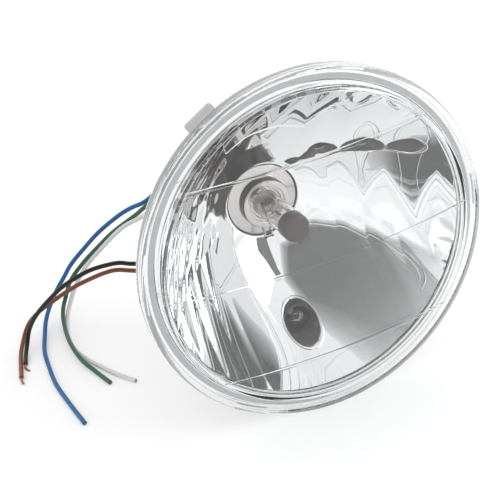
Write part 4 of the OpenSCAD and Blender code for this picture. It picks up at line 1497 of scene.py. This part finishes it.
@dataclass
class LeadBundle:
    """The five free leads and the metal at their ends."""

    plug_end: float = 102.505
    socket_end: float = 75.021
    axis: Spot = (-1.5, -57.0)
    strands_d: float = 1.4
    core_d: float = 1.2

    def routes(self) -> list[Lead]:
        """Return the leads along the routes on which they lie."""
        p, s, x, z = self.plug_end, self.socket_end, self.axis[0], self.axis[1]
        return [
            Lead("blue_lead", BLUE, [
                (6, p, 5), (6, p + 4, 5), (6, p + 12, 5), (1, 126, 3), (-8, 137, -4), (-21, 145, -12),
                (-35, 150, -22.3), (-43, 156, -26.6), (-50, 161, -31.2), (-61, 168, -40.3),
                (-70, 173, -49.4), (-79, 176, -58), (-85, 177, -65.3), (-90, 178, -71.5), (-96, 176, -78),
                (-102, 170, -83.5), (-107, 159, -86.8), (-112, 144, -87.8), (-115, 126, -87.8),
                (-117, 108, -87.8), (-117, 89, -87.8), (-116, 62, -87.8),
            ]),
            Lead("green_lead", GREEN, [
                (0, p, 1), (0, p + 4, 1), (0, p + 11, 1), (-4, 122, -2), (-12, 132, -7), (-24, 140, -14.5),
                (-38, 147, -24.5), (-43, 152, -29.9), (-55, 160, -39.2), (-64, 168, -49.4),
                (-73, 174, -59.1), (-81, 178, -68.8), (-86, 178, -77.6), (-91, 172, -83), (-95, 158, -85.3),
                (-98, 138, -85.3), (-98, 119, -86), (-95, 105, -87.4), (-92, 90, -87.8),
            ]),
            Lead("white_lead", WHITE, [
                (-6, p, -4), (-6, p + 4, -4), (-6, p + 9, -4), (-10, 119, -8), (-19, 130, -13.5),
                (-30, 138, -21), (-41, 145, -28.4), (-52, 153, -35.3), (-64, 164, -49.5), (-73, 171, -60.8),
                (-80, 175, -72.3), (-85, 175, -80.9), (-90, 169, -86.3), (-95, 154, -87.8),
                (-97, 137, -87.8), (-95, 122, -87.8), (-91, 109, -87.8), (-86, 95, -87.8), (-80, 83, -87.8),
            ]),
            Lead("black_lead", BLACK, [
                (x + 2.5, s, z), (x + 2.5, s + 4, z), (x + 2.5, s + 9, z), (-2, 94, -55.5), (-10, 106, -53),
                (-22, 116, -49.5), (-38, 124, -47), (-54, 130, -46.9), (-62, 134, -45.2), (-69, 138, -46),
                (-77, 141, -47.3), (-85, 144, -50.4), (-94, 147, -55), (-101, 150, -60.9),
                (-107, 152, -66.2), (-112, 153, -71.3), (-116, 153, -77.2), (-119, 150.5, -82.6),
                (-122, 146, -86.2), (-125, 138, -87.8),
            ]),
            Lead("brown_lead", BROWN, [
                (x - 2.5, s, z), (x - 2.5, s + 4, z), (x - 2.5, s + 9, z), (-6.5, 94, -58),
                (-13, 105, -58.5), (-24, 115, -57), (-39, 126, -55), (-54, 134, -53.1), (-63, 139, -51.5),
                (-70, 143, -52.9), (-77, 146, -55.1), (-85, 150, -58.5), (-94, 154, -63.3),
                (-100, 157, -67.3), (-106, 160, -71.3), (-112, 162, -76.4), (-116, 161, -80.5),
                (-120, 157, -84.6), (-125, 147, -87.3), (-131, 126, -87.8),
            ]),
        ]

    @staticmethod
    def heading(lead: Lead) -> tuple[Vector, Vector]:
        """Return the free end of a lead and the direction in which it points."""
        before, end = Vector(lead.points[-2]), Vector(lead.points[-1])
        return end, (end - before).normalized()

    def bare_end(self, name: str, lead: Lead, side: float) -> Piece:
        """Return bare copper that stands out of a cut end and bends a little.

        Args:
            name: Name of the piece.
            lead: The lead.
            side: How far it bends, as a factor, with a minus sign for a bend to the right.

        Returns:
            The bare end.
        """
        end, ahead = self.heading(lead)
        bend = ahead.cross(Vector((0, 0, 1))).normalized() * side
        straight, knee, tip = 2.8, 4.8, 6.2
        line = [end - ahead, end, end + ahead * straight]
        line += [end + ahead * knee + bend * 1.1, end + ahead * tip + bend * 2.5]
        return round_curve(name, smooth_route([tuple(q) for q in line], 4), self.strands_d, 10)

    def cut_end(self, name: str, lead: Lead) -> Piece:
        """Return the strands that show in the face of a flush cut end."""
        end, ahead = self.heading(lead)
        return round_curve(name, [tuple(end - ahead), tuple(end + ahead * 0.35)], self.core_d, 10)

    def build(self, palette: Palette) -> None:
        """Lay all leads."""
        bends = {"black": -1.0, "brown": -0.4}
        for lead in self.routes():
            colour = lead.node.split("_")[0]
            if colour in bends:
                end = self.bare_end(colour + "_strands", lead, bends[colour])
                palette.dress(end, COPPER, colour + "_copper")
            else:
                end = self.cut_end(colour + "_cut_strands", lead)
                palette.dress(end, COPPER if colour == "white" else TUNGSTEN)
            lead.build(palette, [end])


def main() -> None:
    """Build the lamp, piece by piece."""
    logging.basicConfig(level=logging.INFO, format="%(name)s: %(message)s")
    Studio().build()
    palette = Palette()
    LeadBundle().build(palette)
    bowl = MirrorBowl()
    bowl.build(palette)
    GlassLens().build(palette)
    HalogenBulb(seat_y=bowl.seat_y).build(palette)
    RearFittings(seat_y=bowl.seat_y).build(palette)
    ParkingLamp().build(palette)


if __name__ == "__main__":
    main()
